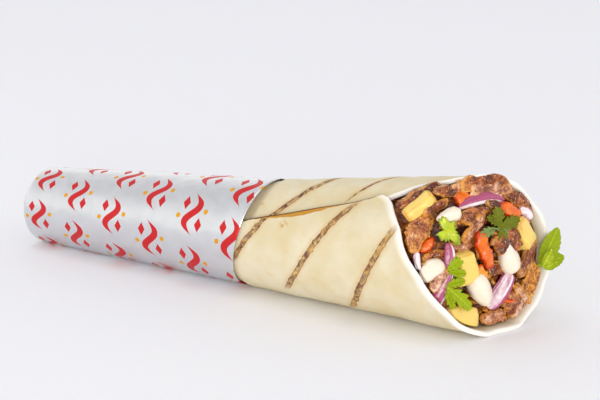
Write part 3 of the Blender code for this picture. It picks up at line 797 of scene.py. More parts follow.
@dataclass(frozen=True)
class TwoTone(Finish):
    """A finish of two colours that blend by the piece's own value "edge", mottled by noise.

    The value runs from 0 where the inner colour shows to 1 where the outer one does.
    """

    inner: str = "#FFFFFF"
    outer: str = "#FFFFFF"
    low: float = 0.3
    high: float = 0.8
    mottle_mm: float = 3.0
    mottle: float = 0.25
    roughness: float = 0.4
    coat: float = 0.0
    shine: float = 0.5
    glow: float = 0.2
    bump: float = 0.15
    bump_mm: float = 1.0

    def build(self) -> Material:
        """Makes the material.

        Returns:
            The new material.
        """
        material, tree, where = self.start()
        value = add(tree, Kind.VALUE, attribute_name="edge")
        spots = add(tree, Kind.NOISE, where, per(self.mottle_mm), Detail=3.0)
        shift = add(tree, Kind.MULTIPLY_ADD, spots, self.mottle * 2, -self.mottle)
        mixed = add(tree, Kind.ADD, value, shift)
        share = add(tree, Kind.RANGE, mixed, self.low, self.high)
        fine = add(tree, Kind.NOISE, where, per(self.bump_mm), Detail=3.0)
        inputs = {
            "Base Color": add(tree, Kind.BLEND, share, self.inner, self.outer),
            "Roughness": self.roughness,
            "Subsurface Weight": self.glow,
            "Subsurface Radius": (1.0, 0.7, 0.45),
            "Subsurface Scale": 2.0 * MM,
            "Specular IOR Level": self.shine,
            "Coat Weight": self.coat,
            "Coat Roughness": 0.1,
            "Normal": add(tree, Kind.BUMP, fine, Strength=self.bump, Distance=0.4 * MM),
        }
        self.end(tree, inputs)
        return material


# ---------------------------------------------------------------- sleeve, bread and heap


@dataclass
class FoilSleeve:
    """The closed foil tube: an end disc with pleats, a rounded corner and the printed wall."""

    roll: Roll = ROLL
    foil: float = 0.4 * MM
    corner: float = 4.0 * MM
    pleats: int = 9
    pleat_depth: float = 1.1 * MM
    end_columns: int = 14
    corner_columns: int = 6
    wall_columns: int = 110
    rows: int = 160
    dent: float = 0.35 * MM
    dent_size: float = 30 * MM
    dent_round: float = 1.4
    fine_dent: tuple[float, float] = (0.35, 3.1)
    smooth_share: float = 0.06
    crumple: float = 0.5 * MM
    crumple_scale: float = 4.0
    finish: PrintedFoil = field(default_factory=PrintedFoil)

    def place(self, along: float, across: float) -> tuple[Vector, float]:
        """Finds a point of the sleeve.

        Args:
            along: 0 to 1 from the middle of the end disc over the corner and along the wall.
            across: 0 to 1 round the roll.

        Returns:
            The point, and how far along the wall it lies.
        """
        columns = self.end_columns + self.corner_columns + self.wall_columns
        column = round(along * columns)
        angle = math.tau * across - math.pi / 2
        end_radius = self.roll.radius(self.roll.closed_end)
        if column <= self.end_columns:
            share = column / self.end_columns
            pleats = self.pleat_depth * share * (1 - share) * 4 * math.cos(self.pleats * angle)
            spot = Vector((share * math.cos(angle), share * math.sin(angle), 0)) * self.crumple_scale
            crumple = self.crumple * fractal(spot) * (1 - share**4)
            inset = end_radius - (end_radius - self.corner) * share
            point = self.roll.point(self.roll.closed_end, angle, inset)
            return point + Vector((pleats + crumple, 0, 0)), 0.0
        column -= self.end_columns
        if column <= self.corner_columns:
            bend = column / self.corner_columns * math.pi / 2
            x = self.roll.closed_end + self.corner * (1 - math.cos(bend))
            return self.roll.point(x, angle, self.corner * (1 - math.sin(bend))), x - self.roll.closed_end
        column -= self.corner_columns
        start = self.roll.closed_end + self.corner
        share = column / self.wall_columns
        x = start + (self.roll.sleeve_end(angle) - start) * share
        wide = self.dent_round
        around = Vector((x / self.dent_size, wide * math.cos(angle), wide * math.sin(angle)))
        depth, scale = self.fine_dent
        dent = self.dent * (fractal(around) + depth * fractal(around * scale))
        dent *= smooth_step(0, self.smooth_share, share)
        return self.roll.point(x, angle, dent), x - self.roll.closed_end

    def build(self) -> Object:
        """Builds the dressed sleeve.

        Returns:
            The sleeve.
        """
        columns = self.end_columns + self.corner_columns + self.wall_columns
        obj, spots = flat_grid("foil_sleeve_wall", columns, self.rows)
        placed = [self.place(*spot) for spot in spots]
        set_points(obj, [point for point, _ in placed])
        set_value(obj, "print_along", [along / MM for _, along in placed])
        set_value(obj, "print_turn", [across for _, across in spots])
        close_up(obj)
        apply_modifier(obj, "SOLIDIFY", thickness=self.foil, offset=-1.0)
        finish_piece(obj, self.finish.build(), "printed_foil", "foil_sleeve")
        return obj


@dataclass(frozen=True)
class ScorchBar:
    """A griddle bar's mark: a slanting line on the roll, between two angles in degrees.

    rise is how far it moves along for each degree, and bend how fast that grows. narrower takes millimetres
    off each side.
    """

    x_mm: float
    rise: float
    low: float
    high: float
    narrower: float = 0.0
    bend: float = 0.0


@dataclass
class Flatbread:
    """The rolled sheet of bread, with a rounded edge all round."""

    roll: Roll = ROLL
    foil: float = 0.5 * MM
    corner_round: float = math.radians(14)
    edge_round: float = 1.5 * MM
    sleeve_columns: int = 2
    outside_columns: int = 110
    rim_columns: int = 6
    inside_columns: int = 60
    rows: int = 300
    near_edge: float = math.radians(8)
    near_rows: float = 0.05
    swell: float = 0.55 * MM
    swell_size: float = 19 * MM
    swell_free: tuple[float, float] = (4 * MM, 22 * MM)
    back: float = 4.4 * MM
    under_sleeve: float = 3 * MM
    step_out: float = 5 * MM
    side_x: float = 60 * MM
    lip: float = 0.7 * MM
    lip_length: float = 9 * MM
    ripple: tuple[float, float, float] = (0.8 * MM, 0.5 * MM, 0.35 * MM)
    corner_reach: float = 5 * MM
    seam_toast: tuple[float, float] = (0.8, 2.5)
    toasted_at: float = 37.0
    toasted_length: float = 20.0
    blushes: tuple[tuple[float, float, float], ...] = (
        (9.9, 49.8, 2.6),
        (28.6, 28.9, 3.6),
        (14.6, -58.5, 3.6),
    )
    bend_from: float = 35.0
    bar_across: float = 0.82
    bars: tuple[ScorchBar, ...] = (
        ScorchBar(4.0, 0.39, -18, 175),
        ScorchBar(44.4, 0.38, -42, 56, bend=0.0012),
        ScorchBar(82.4, 0.32, -58, 33),
        ScorchBar(32.6, 0.42, 62, 180, narrower=0.9),
        ScorchBar(-68.0, 0.40, 185, 236),
        ScorchBar(-30.0, 0.40, 150, 238),
        ScorchBar(12.0, 0.40, 150, 236),
    )
    finish: BakedFlatbread = field(default_factory=BakedFlatbread)

    def rolled(self, across: float) -> float:
        """Says how far round a row is rolled: rows lie close at the sheet's outer edge, which shows.

        Args:
            across: 0 to 1 along the turn.

        Returns:
            The roll angle.
        """
        near, share = self.near_edge, self.near_rows
        if across < share:
            return near * across / share
        return near + (self.roll.roll_angle - near) * (across - share) / (1 - share)

    def reach(self, rolled: float) -> float:
        """Says how far forward the sheet's edge runs, with its ripples and its rounded outer corner.

        Args:
            rolled: the roll angle from the sheet's outer edge.

        Returns:
            The x of the edge.
        """
        broad, narrow, rough = self.ripple
        ripple = broad * math.sin(5 * rolled) + narrow * math.sin(11 * rolled + 1)
        small = rough * fractal(Vector((rolled * 6, 0.3, 0)))
        corner = self.corner_reach * max(0.0, 1 - rolled / self.corner_round) ** 2
        return self.roll.rim_reach(rolled) + ripple + small - corner - self.roll.hollowed(rolled)

    def place(self, along: float, across: float) -> tuple[Vector, float, float, float, bool]:
        """Finds a point of the sheet.

        Args:
            along: 0 to 1 over the outer face and the rim, and back along the inner face.
            across: 0 to 1 along the turn.

        Returns:
            The point, its x, its angle, its distance from the rim, and whether it is on the outer face.
        """
        columns = self.sleeve_columns * 2 + self.outside_columns + self.rim_columns + self.inside_columns
        column = round(along * columns)
        rolled = self.rolled(across)
        reach = self.reach(rolled)
        start = self.roll.closed_end + self.back
        hidden = self.roll.sleeve_end(self.roll.seam_at_sleeve - rolled) - self.under_sleeve
        from_side = min(rolled, self.roll.roll_angle - rolled) * self.roll.radius(self.side_x)
        full = 1 - max(0.0, 1 - from_side / self.edge_round) ** 2
        thickness = self.roll.bread * math.sqrt(max(0.0, full))
        outer_end = self.sleeve_columns + self.outside_columns
        inner_start = outer_end + self.rim_columns
        straight = reach - thickness / 2
        on_outer = column <= outer_end
        x, depth = straight, -1.0
        if column <= self.sleeve_columns:
            x = start + (hidden - start) * column / self.sleeve_columns
            depth = 0.0 if column == 0 else -1.0
        elif on_outer:
            x = hidden + (straight - hidden) * (column - self.sleeve_columns) / self.outside_columns
        elif column < inner_start:
            turn = (column - outer_end) / self.rim_columns * math.pi
            x = straight + thickness / 2 * math.sin(turn)
            depth = -math.cos(turn)
        elif column <= inner_start + self.inside_columns:
            x = straight + (hidden - straight) * (column - inner_start) / self.inside_columns
            depth = 1.0
        else:
            share = (column - inner_start - self.inside_columns) / self.sleeve_columns
            x = hidden + (start - hidden) * share
            depth = 0.0 if share > 0.99 else 1.0
        angle = self.roll.seam_angle(x) - rolled
        out = smooth_step(0.0, self.step_out, x - hidden - self.under_sleeve)
        held_in = (self.foil + 2 * self.roll.gap) * (1 - out)
        middle = held_in + self.roll.tuck(rolled) + self.roll.bread / 2
        free = smooth_step(*self.swell_free, x - hidden)
        around = Vector((x, self.roll.edge_radius * math.cos(angle), self.roll.edge_radius * math.sin(angle)))
        swell = self.swell * fractal(around / self.swell_size) * free
        lip = -self.lip * smooth_step(self.lip_length, 0.0, reach - x) if reach - x < self.lip_length else 0.0
        inset = middle + depth * thickness / 2 + swell + lip
        floor = held_in + self.roll.tuck(rolled) + (depth + 1) / 2 * thickness
        point = self.roll.point(x, angle, inset, floor)
        return point, x, angle, reach - x, on_outer

    def bar_values(self, x: float, angle: float, on_outer: bool) -> tuple[float, float]:
        """Looks for the nearest scorch bar.

        Args:
            x: place along the roll.
            angle: place round it.
            on_outer: whether the place is on the sheet's outer face.

        Returns:
            The distance to the bar in millimetres, and how strongly it shows.
        """
        degrees = round_degrees(angle)
        nearest, strength = 9.0, 0.0
        for bar in self.bars:
            bend = bar.bend * max(0.0, degrees - self.bend_from) ** 2
            middle = bar.x_mm + bar.rise * degrees + bend
            apart = abs(x / MM - middle) * self.bar_across + bar.narrower
            shown = smooth_step(bar.low - 6, bar.low + 8, degrees)
            shown *= smooth_step(bar.high + 6, bar.high - 8, degrees)
            if apart < nearest and shown > 0:
                nearest, strength = apart, shown
        return nearest, strength if on_outer else 0.0

    def blush(self, x: float, angle: float) -> float:
        """Looks for small toasted spots.

        Args:
            x: place along the roll.
            angle: place round it.

        Returns:
            How strongly a spot shows.
        """
        degrees = round_degrees(angle)
        shown = 0.0
        for at, turn, size in self.blushes:
            apart = math.hypot(x / MM - at, math.radians(degrees - turn) * self.roll.radius(x) / MM)
            shown = max(shown, smooth_step(size, size * 0.3, apart))
        return shown

    def build(self) -> Object:
        """Builds the dressed sheet.

        Returns:
            The sheet.
        """
        columns = self.sleeve_columns * 2 + self.outside_columns + self.rim_columns + self.inside_columns
        obj, spots = flat_grid("flatbread_sheet", columns, self.rows)
        placed = [self.place(*spot) for spot in spots]
        set_points(obj, [p[0] for p in placed])
        bars = [self.bar_values(x, angle, outer) for _, x, angle, _, outer in placed]
        set_value(obj, "bar_mm", [bar for bar, _ in bars])
        set_value(obj, "bar_fade", [shown for _, shown in bars])
        set_value(obj, "rim_mm", [rim / MM for _, _, _, rim, _ in placed])
        blushes = [self.blush(x, angle) if outer else 0.0 for _, x, angle, _, outer in placed]
        set_value(obj, "blush", blushes)
        set_value(obj, "seam_mm", [self.rolled(across) * self.roll.edge_radius / MM for _, across in spots])
        least, more = self.seam_toast
        off = [(x / MM - self.toasted_at) / self.toasted_length for _, x, _, _, _ in placed]
        set_value(obj, "seam_toast", [least + more * math.exp(-(share**2)) for share in off])
        close_up(obj)
        finish_piece(obj, self.finish.build(), "flatbread", "flatbread")
        return obj


@dataclass
class MeatHeap:
    """The meat that fills the roll: a long body whose front is a lumpy field of shreds."""

    roll: Roll = ROLL
    mouth: Mouth = MOUTH
    back: float = -139 * MM
    clearance: float = 3.6 * MM
    set_back: float = 4.2 * MM
    side_columns: int = 10
    rings: int = 96
    rows: int = 260
    lump: float = 6.5 * MM
    lump_height: float = 2.2 * MM
    shred: float = 2.0 * MM
    shred_height: float = 0.8 * MM
    side_gap: float = 0.8 * MM
    side_floor: float = 4.0 * MM
    edge_floor: float = 3.4 * MM
    # painted shade: how dark the heap's sides and the hollows of its front are painted
    side_shade: float = 0.3
    crease_shades: tuple[float, float] = (0.25, 0.7)
    browned: float = 0.35
    tone: float = 0.5

    def room(self, x: float, angle: float) -> float:
        """Says how far in the heap stays, under one layer of bread or two.

        Args:
            x: place along the roll.
            angle: place round it.

        Returns:
            Its distance from the roll's outer radius.
        """
        turned = (self.roll.seam_angle(x) - angle) % math.tau
        inner = turned + math.tau
        return self.clearance + self.roll.tuck(inner if inner < self.roll.roll_angle + 0.2 else turned)

    def build(self, finish: Material) -> Object:
        """Builds the dressed heap.

        Args:
            finish: the meat's material.

        Returns:
            The heap.
        """
        total = self.side_columns + self.rings + 1
        obj, spots = flat_grid("meat_heap_mass", total, self.rows)
        edges: dict[float, Vector] = {}
        points, crease_shades = [], []
        for along, across in spots:
            angle = math.tau * across
            if across not in edges:
                x = self.mouth.centre.x
                for _ in range(8):
                    edge = self.roll.point(x, angle, self.room(x, angle), self.edge_floor) - CENTRING
                    x = self.mouth.front_x(edge.y, edge.z) - self.set_back
                edges[across] = Vector((x, edge.y, edge.z))
            edge = edges[across]
            ring = round(along * total)
            crease = self.side_shade
            if ring == 0:
                point = Vector((self.back, 0, self.roll.radius(self.back)))
            elif ring <= self.side_columns:
                x = self.back + (edge.x - self.back) * (ring - 1) / (self.side_columns - 1)
                inset = self.room(x, angle) + self.side_gap
                point = self.roll.point(x, angle, inset, self.side_floor) - CENTRING
            else:
                share = 1 - (ring - self.side_columns) / (self.rings + 1)
                middle = self.mouth.centre
                point = Vector((0, middle.y, middle.z)).lerp(Vector((0, edge.y, edge.z)), share)
                flat = Vector((0, point.y, point.z))
                lumps = fractal(flat / self.lump, 2)
                shreds = 1 - 2 * abs(fractal(flat / self.shred + Vector((3, 0, 0)), 3))
                inner = 1 - share**8
                lift = (lumps * self.lump_height + shreds * self.shred_height) * inner
                point.x = self.mouth.front_x(point.y, point.z) - self.set_back + lift
                least, more = self.crease_shades
                # painted shade: the lower places of the front are painted darker
                crease = least + more * smooth_step(1.2, -0.6, lift / MM)
            points.append(point + CENTRING)
            crease_shades.append(crease)
        set_points(obj, points)
        set_value(obj, "browned", [self.browned] * len(points))
        set_value(obj, "crease", crease_shades)
        set_value(obj, "tone", [self.tone] * len(points))
        set_value(obj, "fibre_along", [point.y / MM for point in points])
        set_value(obj, "fibre_across", [point.z / MM for point in points])
        close_up(obj)
        finish_piece(obj, finish, "roast_meat", "meat_heap")
        return obj


# ---------------------------------------------------------------- pieces of the filling


def between(a: float, b: float, c: float, d: float, t: float) -> float:
    """The value at t on the smooth curve from b to c, with a before them and d after."""
    return b + t * (c - a + t * (2 * a - 5 * b + 4 * c - d + t * (3 * (b - c) + d - a))) / 2


def round_curve(reach: tuple[float, ...], angle: float) -> float:
    """Follows a smooth closed curve.

    Args:
        reach: its distances from the middle, at equal steps of angle.
        angle: where on it to look.

    Returns:
        Its distance from the middle there.
    """
    place = angle / math.tau * len(reach)
    index = math.floor(place)
    t = place - index
    return between(*(reach[(index + step) % len(reach)] for step in (-1, 0, 1, 2)), t)


@dataclass
class Slab:
    """A flat piece with an outline of its own: a slice of meat, a bit of tomato or of lettuce.

    reach gives the outline in millimetres, at equal steps of angle from the piece's own right, over its top.
    The sizes that end in _mm say how far apart the noise's features are.
    """

    name: str
    at: tuple[float, ...]
    reach: tuple[float, ...]
    thickness: float = 3.0
    dome: float = 1.2
    bow: float = 0.0
    ragged: float = 0.2
    relief: float = 0.34
    ripple: float = 1.5
    frill: float = 0.0
    tone: float = 0.4
    gold: float = 0.3
    seed: int = 0
    over: float = -0.5
    rings: int = 36
    spokes: int = 96
    grain_mm: tuple[float, float] = (3.2, 1.8)
    lump_mm: float = 2.4
    wave_mm: float = 6.0
    thin_mm: float = 5.0

    def shape(self) -> Object:
        """Makes the slab in place, with the values that its finish reads.

        Returns:
            The slab.
        """
        obj, spots = flat_grid(self.name, self.rings, self.spokes)
        matrix = MOUTH.frame(*self.at)
        size = sum(self.reach) / len(self.reach)
        points, browned, crease_shades, fibres, edge_highlights = [], [], [], [], []
        wide = max(size, 2.0)
        for along, across in spots:
            angle = math.tau * across
            side = 1 if along <= 0.5 else -1
            share = 1 - abs(1 - 2 * along)
            share = 1 - (1 - share) ** 1.35
            way = Vector((math.cos(angle), math.sin(angle), self.seed * 1.7))
            torn = 1 + self.ragged * noise.noise(way * 1.9) + 0.9 * self.ragged * fractal(way * 4.5, 4)
            away = share * round_curve(self.reach, angle) * (1 + (torn - 1) * share**2)
            x, y = away * way.x, away * way.y
            height = side * math.sqrt(max(0.0, 1 - share**14))
            long, short = self.grain_mm
            grain = Vector((x / long, y / short, self.seed * 3.1 + side * 5))
            lumps = Vector((x / self.lump_mm, y / self.lump_mm, self.seed + side * 9))
            rough = self.relief * (0.8 * noise.noise(grain) + 0.7 * fractal(lumps, 3))
            wave = self.ripple * noise.noise(Vector((x / self.wave_mm, y / self.wave_mm, self.seed + 7)))
            folds = math.sin(3 * angle + self.seed) + 0.6 * share * math.sin(8 * angle)
            frill = self.frill * share**2 * folds
            uneven = noise.noise(Vector((x / self.thin_mm, y / self.thin_mm, self.seed + 21)))
            thin = self.thickness / 2 * (0.85 + 0.5 * uneven)
            z = height * thin + self.dome * (0.5 - share * share) + wave + frill + rough * side * abs(height)
            spot = Vector((x + 0.25 * rough * way.x, y - self.bow * x * x + 0.25 * rough * way.y, z))
            points.append(ROLL.held_in(matrix @ (spot * MM), self.over * MM))
            fibres.append((x + self.seed * 17, y))
            rim = smooth_step(1 - 1.8 / max(size, 2.3), 1.0, share)
            browned.append(self.gold * (0.5 + 0.4 * rim) + 0.35 * rim + 0.25 * noise.noise(lumps * 0.6))
            # painted shade: the hollows of the relief are painted darker
            crease_shades.append(smooth_step(-0.25, -0.8, rough / max(self.relief, 0.01)) * 0.6)
            # painted highlight: how strongly the pale line shows at the slice's edge
            pale = smooth_step(1 - 1.3 / wide, 1 - 0.4 / wide, share)
            edge_highlights.append(pale * (0.6 + noise.noise(lumps * 0.5)))
        set_points(obj, points)
        values = {
            "browned": browned,
            "crease": crease_shades,
            "torn_edge": edge_highlights,
            "tone": [self.tone] * len(points),
            "fibre_along": [x for x, _ in fibres],
            "fibre_across": [y for _, y in fibres],
            "edge": [value / max(self.gold, 0.01) * 0.8 for value in browned],
        }
        for name, numbers in values.items():
            set_value(obj, name, numbers)
        close_up(obj)
        return obj


@dataclass
class Block:
    """A piece shaped from a subdivided cube: a chip of potato or a white clove.

    worn says how strongly the edges take the outer colour, and ridge how high a lengthwise ridge stands up.
    """

    name: str
    length: float
    width: float
    thickness: float
    at: tuple[float, ...]
    taper: float = 0.18
    bend: float = 0.8
    cuts: int = 22
    squareness: float = 7.0
    rough: float = 0.35
    worn: float = 0.8
    ridge: float = 0.0

    def shape(self) -> Object:
        """Makes the piece in place, with the value that its finish reads.

        Returns:
            The piece.
        """
        bpy.ops.mesh.primitive_cube_add(size=2.0)
        obj = named(bpy.context.active_object, self.name)
        bpy.ops.object.mode_set(mode="EDIT")
        bpy.ops.mesh.select_all(action="SELECT")
        bpy.ops.mesh.subdivide(number_cuts=self.cuts)
        bpy.ops.object.mode_set(mode="OBJECT")
        matrix = MOUTH.frame(*self.at)
        points, edges = [], []
        for vert in obj.data.vertices:
            corner = vert.co
            k = self.squareness
            n = corner / (abs(corner.x) ** k + abs(corner.y) ** k + abs(corner.z) ** k) ** (1 / k)
            girth = 1 - self.taper * (0.5 - n.x / 2)
            spot = Vector((n.x * self.length, n.y * self.width * girth, n.z * self.thickness * girth)) / 2
            crown = self.ridge * (1 - min(1.0, abs(n.y) * 1.6)) * max(0.0, n.z)
            spot.z += self.bend * (0.25 - n.x * n.x / 4) + crown
            spot += n * self.rough * fractal(spot / 4.5 + Vector((self.at[0], self.at[1], 0)), 3)
            points.append(ROLL.held_in(matrix @ (spot * MM)))
            middle = sorted((abs(corner.x), abs(corner.y), abs(corner.z)))[1]
            edges.append(middle**4 * self.worn + 0.35 * noise.noise(spot / 5) + 0.15 * abs(n.x) ** 3)
        set_points(obj, points)
        set_value(obj, "edge", edges)
        bpy.ops.object.shade_smooth()
        return obj


def along_curve(knots: tuple[tuple[float, ...], ...], share: float) -> list[float]:
    """Follows a smooth open curve.

    Args:
        knots: the values that it goes through, at equal steps.
        share: 0 to 1 from its first knot to its last.

    Returns:
        The values there.
    """
    place = min(max(share, 0.0), 0.9999) * (len(knots) - 1)
    index = int(place)
    t = place - index
    last = len(knots) - 1
    four = [knots[min(max(index + step, 0), last)] for step in (-1, 0, 1, 2)]
    return [between(*values, t) for values in zip(*four)]


@dataclass
class OnionStrip:
    """A strip of red onion that runs along a curve in the mouth.

    knots holds, for points along its middle, the place across and up, how far it stands out, its width and
    by how many degrees its right-hand edge, seen along it, is tipped out; all but the last in millimetres.
    tint gives how purple it is at its left edge, in its middle and at its right edge. The edge colour starts
    at the share edge_from of its half width, and is full at edge_fade more.
    """

    name: str
    knots: tuple[tuple[float, ...], ...]
    tint: tuple[float, float, float]
    edge_from: float = 0.45
    edge_fade: float = 0.25
    thickness: float = 1.9
    cup: float = 0.9
    columns: int = 90
    rows: int = 40

    def shape(self) -> Object:
        """Makes the strip in place, with the value that its finish reads.

        Returns:
            The strip.
        """
        obj, spots = flat_grid(self.name, self.columns, self.rows)
        points, purple = [], []
        for along, across in spots:
            x, y, out, width, tip = along_curve(self.knots, along)
            nearer, further = along_curve(self.knots, along - 0.01), along_curve(self.knots, along + 0.01)
            turn = math.degrees(math.atan2(further[1] - nearer[1], further[0] - nearer[0]))
            way = math.tau * across
            end = 2 * abs(along - 0.5)
            ends = math.sqrt(max(0.0, 1 - end**14))
            q = -math.copysign(abs(math.cos(way)) ** 0.6, math.cos(way))
            side = math.copysign(abs(math.sin(way)) ** 0.5, math.sin(way))
            ragged = 1 + 0.06 * noise.noise(Vector((along * 6, q * 2, len(self.name))))
            height = self.thickness / 2 * side * ends - self.cup * q * q
            height += 0.45 * noise.noise(Vector((along * 4, q, len(self.name))))
            spot = Vector((0, q * width / 2 * ends * ragged, height))
            points.append(ROLL.held_in(MOUTH.frame(x, y, out, turn, tip) @ (spot * MM)))
            left, middle, right = self.tint
            edge = right if q < 0 else left
            streak = 0.5 * noise.noise(Vector((along * 2.5, q * 7, len(self.name))))
            share = smooth_step(self.edge_from, self.edge_from + self.edge_fade, abs(q))
            purple.append(middle + (edge - middle) * share + streak)
        set_points(obj, points)
        set_value(obj, "edge", purple)
        close_up(obj)
        return obj


class Herb(Enum):
    """How a leaflet's outline runs: how often and how deeply it is cut, and where it is widest."""

    PARSLEY = (4, 0.5, 1.15)
    MINT = (8, 0.14, 0.95)


@dataclass
class Blade:
    """A thin leaflet that grows from a foot in the mouth, along its own length.

    pale is added to the value that shows the veins.
    """

    herb: Herb
    length: float
    width: float
    at: tuple[float, ...]
    cup: float = 0.16
    droop: float = 1.5
    thickness: float = 0.4
    columns: int = 64
    rows: int = 26
    pale: float = 0.0

    def shape(self, name: str) -> Object:
        """Makes the leaflet in place, with the value that its finish reads.

        Args:
            name: the new object's name.

        Returns:
            The leaflet.
        """
        obj, spots = flat_grid(name, self.columns, self.rows)
        matrix = MOUTH.frame(*self.at)
        teeth, depth, fullness = self.herb.value
        points, veins = [], []
        for along, across in spots:
            v = 2 * across - 1
            tooth = (along * teeth + 0.35) % 1
            body = math.sin(math.pi * along**fullness) ** 0.7 if 0 < along < 1 else 0.0
            half = self.width / 2 * body * (1 - depth + depth * tooth**0.9)
            half = max(half, 0.35 * (1 - along))
            x = self.length * along + depth * abs(v) ** 1.5 * half * 0.5
            y = half * v
            branch = ((along - 0.35 * abs(y) / self.width) * (teeth if teeth > 4 else 2 * teeth)) % 1
            midrib = smooth_step(0.09, 0.0, abs(y) / self.width)
            vein = max(midrib, 0.7 * smooth_step(0.16, 0.0, abs(branch - 0.5)))
            ripple = 0.5 * noise.noise(Vector((x / 4, y / 3, self.length)))
            z = self.cup * abs(y) + ripple - self.droop * along**2 - 0.4 * vein
            points.append(matrix @ (Vector((x, y, z)) * MM))
            veins.append(vein + self.pale)
        set_points(obj, points)
        set_value(obj, "edge", veins)
        close_up(obj)
        apply_modifier(obj, "SOLIDIFY", thickness=self.thickness * MM, offset=0.0)
        return obj


def joined(name: str, parts: list[Object]) -> Object:
    """Joins parts to one object.

    Args:
        name: the joined object's name.
        parts: what it is made of.

    Returns:
        The joined object.
    """
    select_only(parts[0])
    for part in parts[1:]:
        part.select_set(True)
    bpy.ops.object.join()
    return named(bpy.context.active_object, name)


def stalk(name: str, path: list[Vector], radius: float) -> Object:
    """Makes a round stalk.

    Args:
        name: the new object's name.
        path: the points that it runs through.
        radius: its radius.

    Returns:
        The stalk.
    """
    curve = bpy.data.curves.new(name, "CURVE")
    curve.dimensions = "3D"
    spline = curve.splines.new("NURBS")
    spline.points.add(len(path) - 1)
    for point, spot in zip(spline.points, path):
        point.co = (*spot, 1)
    spline.use_endpoint_u = True
    curve.bevel_depth = radius
    curve.bevel_resolution = 3
    curve.use_fill_caps = True
    made = bpy.data.objects.new(name, curve)
    bpy.context.scene.collection.objects.link(made)
    select_only(made)
    bpy.ops.object.convert(target="MESH")
    made = bpy.context.active_object
    set_value(made, "edge", [0.4] * len(made.data.vertices))
    bpy.ops.object.shade_smooth()
    return made


# ---------------------------------------------------------------- the whole filling

# Cut and peeled food: each finish says what its surface gives the eye. The first dictionaries hold what
# like surfaces share: wet tomato, a waxy leaf, a crisp leaf, fried potato and the downy leaf of mint.
WET = {"mottle": 0.6, "roughness": 0.22, "coat": 0.5, "shine": 0.3, "bump": 0.6, "bump_mm": 1.8}
LEAFY = {"low": 0.45, "high": 1.2, "mottle": 0.6, "roughness": 0.38, "shine": 0.25, "bump": 0.6}
CRISP = {"low": 0.3, "high": 1.1, "bump": 0.5}
FRIED = {"mottle_mm": 3.5, "mottle": 0.6, "roughness": 0.36, "coat": 0.25, "glow": 0.25, "bump": 0.4}
VEINED = {"mottle": 0.5, "roughness": 0.4, "shine": 0.25, "glow": 0.12, "bump": 1.0, "bump_mm": 1.7}
# Deep-fried potato: a dry, pale yellow face with amber, slightly oily patches at its edges.
POTATO = TwoTone("fried_potato", "#F4D26C", "#DC9424", 0.4, 1.15, **FRIED)
# Peeled garlic: smooth, waxy ivory with a soft shine and some light inside it.
GARLIC = TwoTone("white_garlic", "#F6E9D4", "#DCB680", 0.2, 1.1, 5.0, 0.3, 0.3, coat=0.4, glow=0.3)
# Ripe tomato, diced: wet and shiny, orange flesh that turns red towards the skin.
TOMATO = TwoTone("ripe_tomato", "#F2780A", "#CE4002", 0.25, 1.0, **WET)
AMBER_TOMATO = TwoTone("amber_tomato", "#F6A51E", "#DE5A0C", 0.3, 0.95, **WET)
# Sliced red onion: glassy, nearly white flesh with a purple skin along its edges.
ONION = TwoTone("red_onion", "#F7E9EC", "#AE4A72", 0.3, 0.85, 1.4, roughness=0.26, coat=0.45, bump=0.3)
# Fresh parsley: thin, half matt leaves with paler veins, darker for the upper sprig and greyish on an
# underside.
DARK_PARSLEY = TwoTone("dark_parsley_leaf", "#6E7404", "#9CA42E", glow=0.05, **LEAFY)
PARSLEY = TwoTone("parsley_leaf", "#9AAE00", "#CDD834", glow=0.1, **LEAFY)
PALE_PARSLEY = TwoTone("pale_parsley_leaf", "#80944A", "#BFCB8E", mottle=0.5, roughness=0.45, **CRISP)
# A torn scrap of lettuce: bright, yellowish green, crisp and moist.
LETTUCE = TwoTone("lettuce_leaf", "#C3D010", "#8AA010", mottle=0.6, roughness=0.32, coat=0.3, **CRISP)
# Fresh mint: a quilted leaf between deep veins, its shine dulled by fine down.
MINT = TwoTone("mint_leaf", "#90A400", "#D2DC38", 0.45, 1.15, **VEINED)

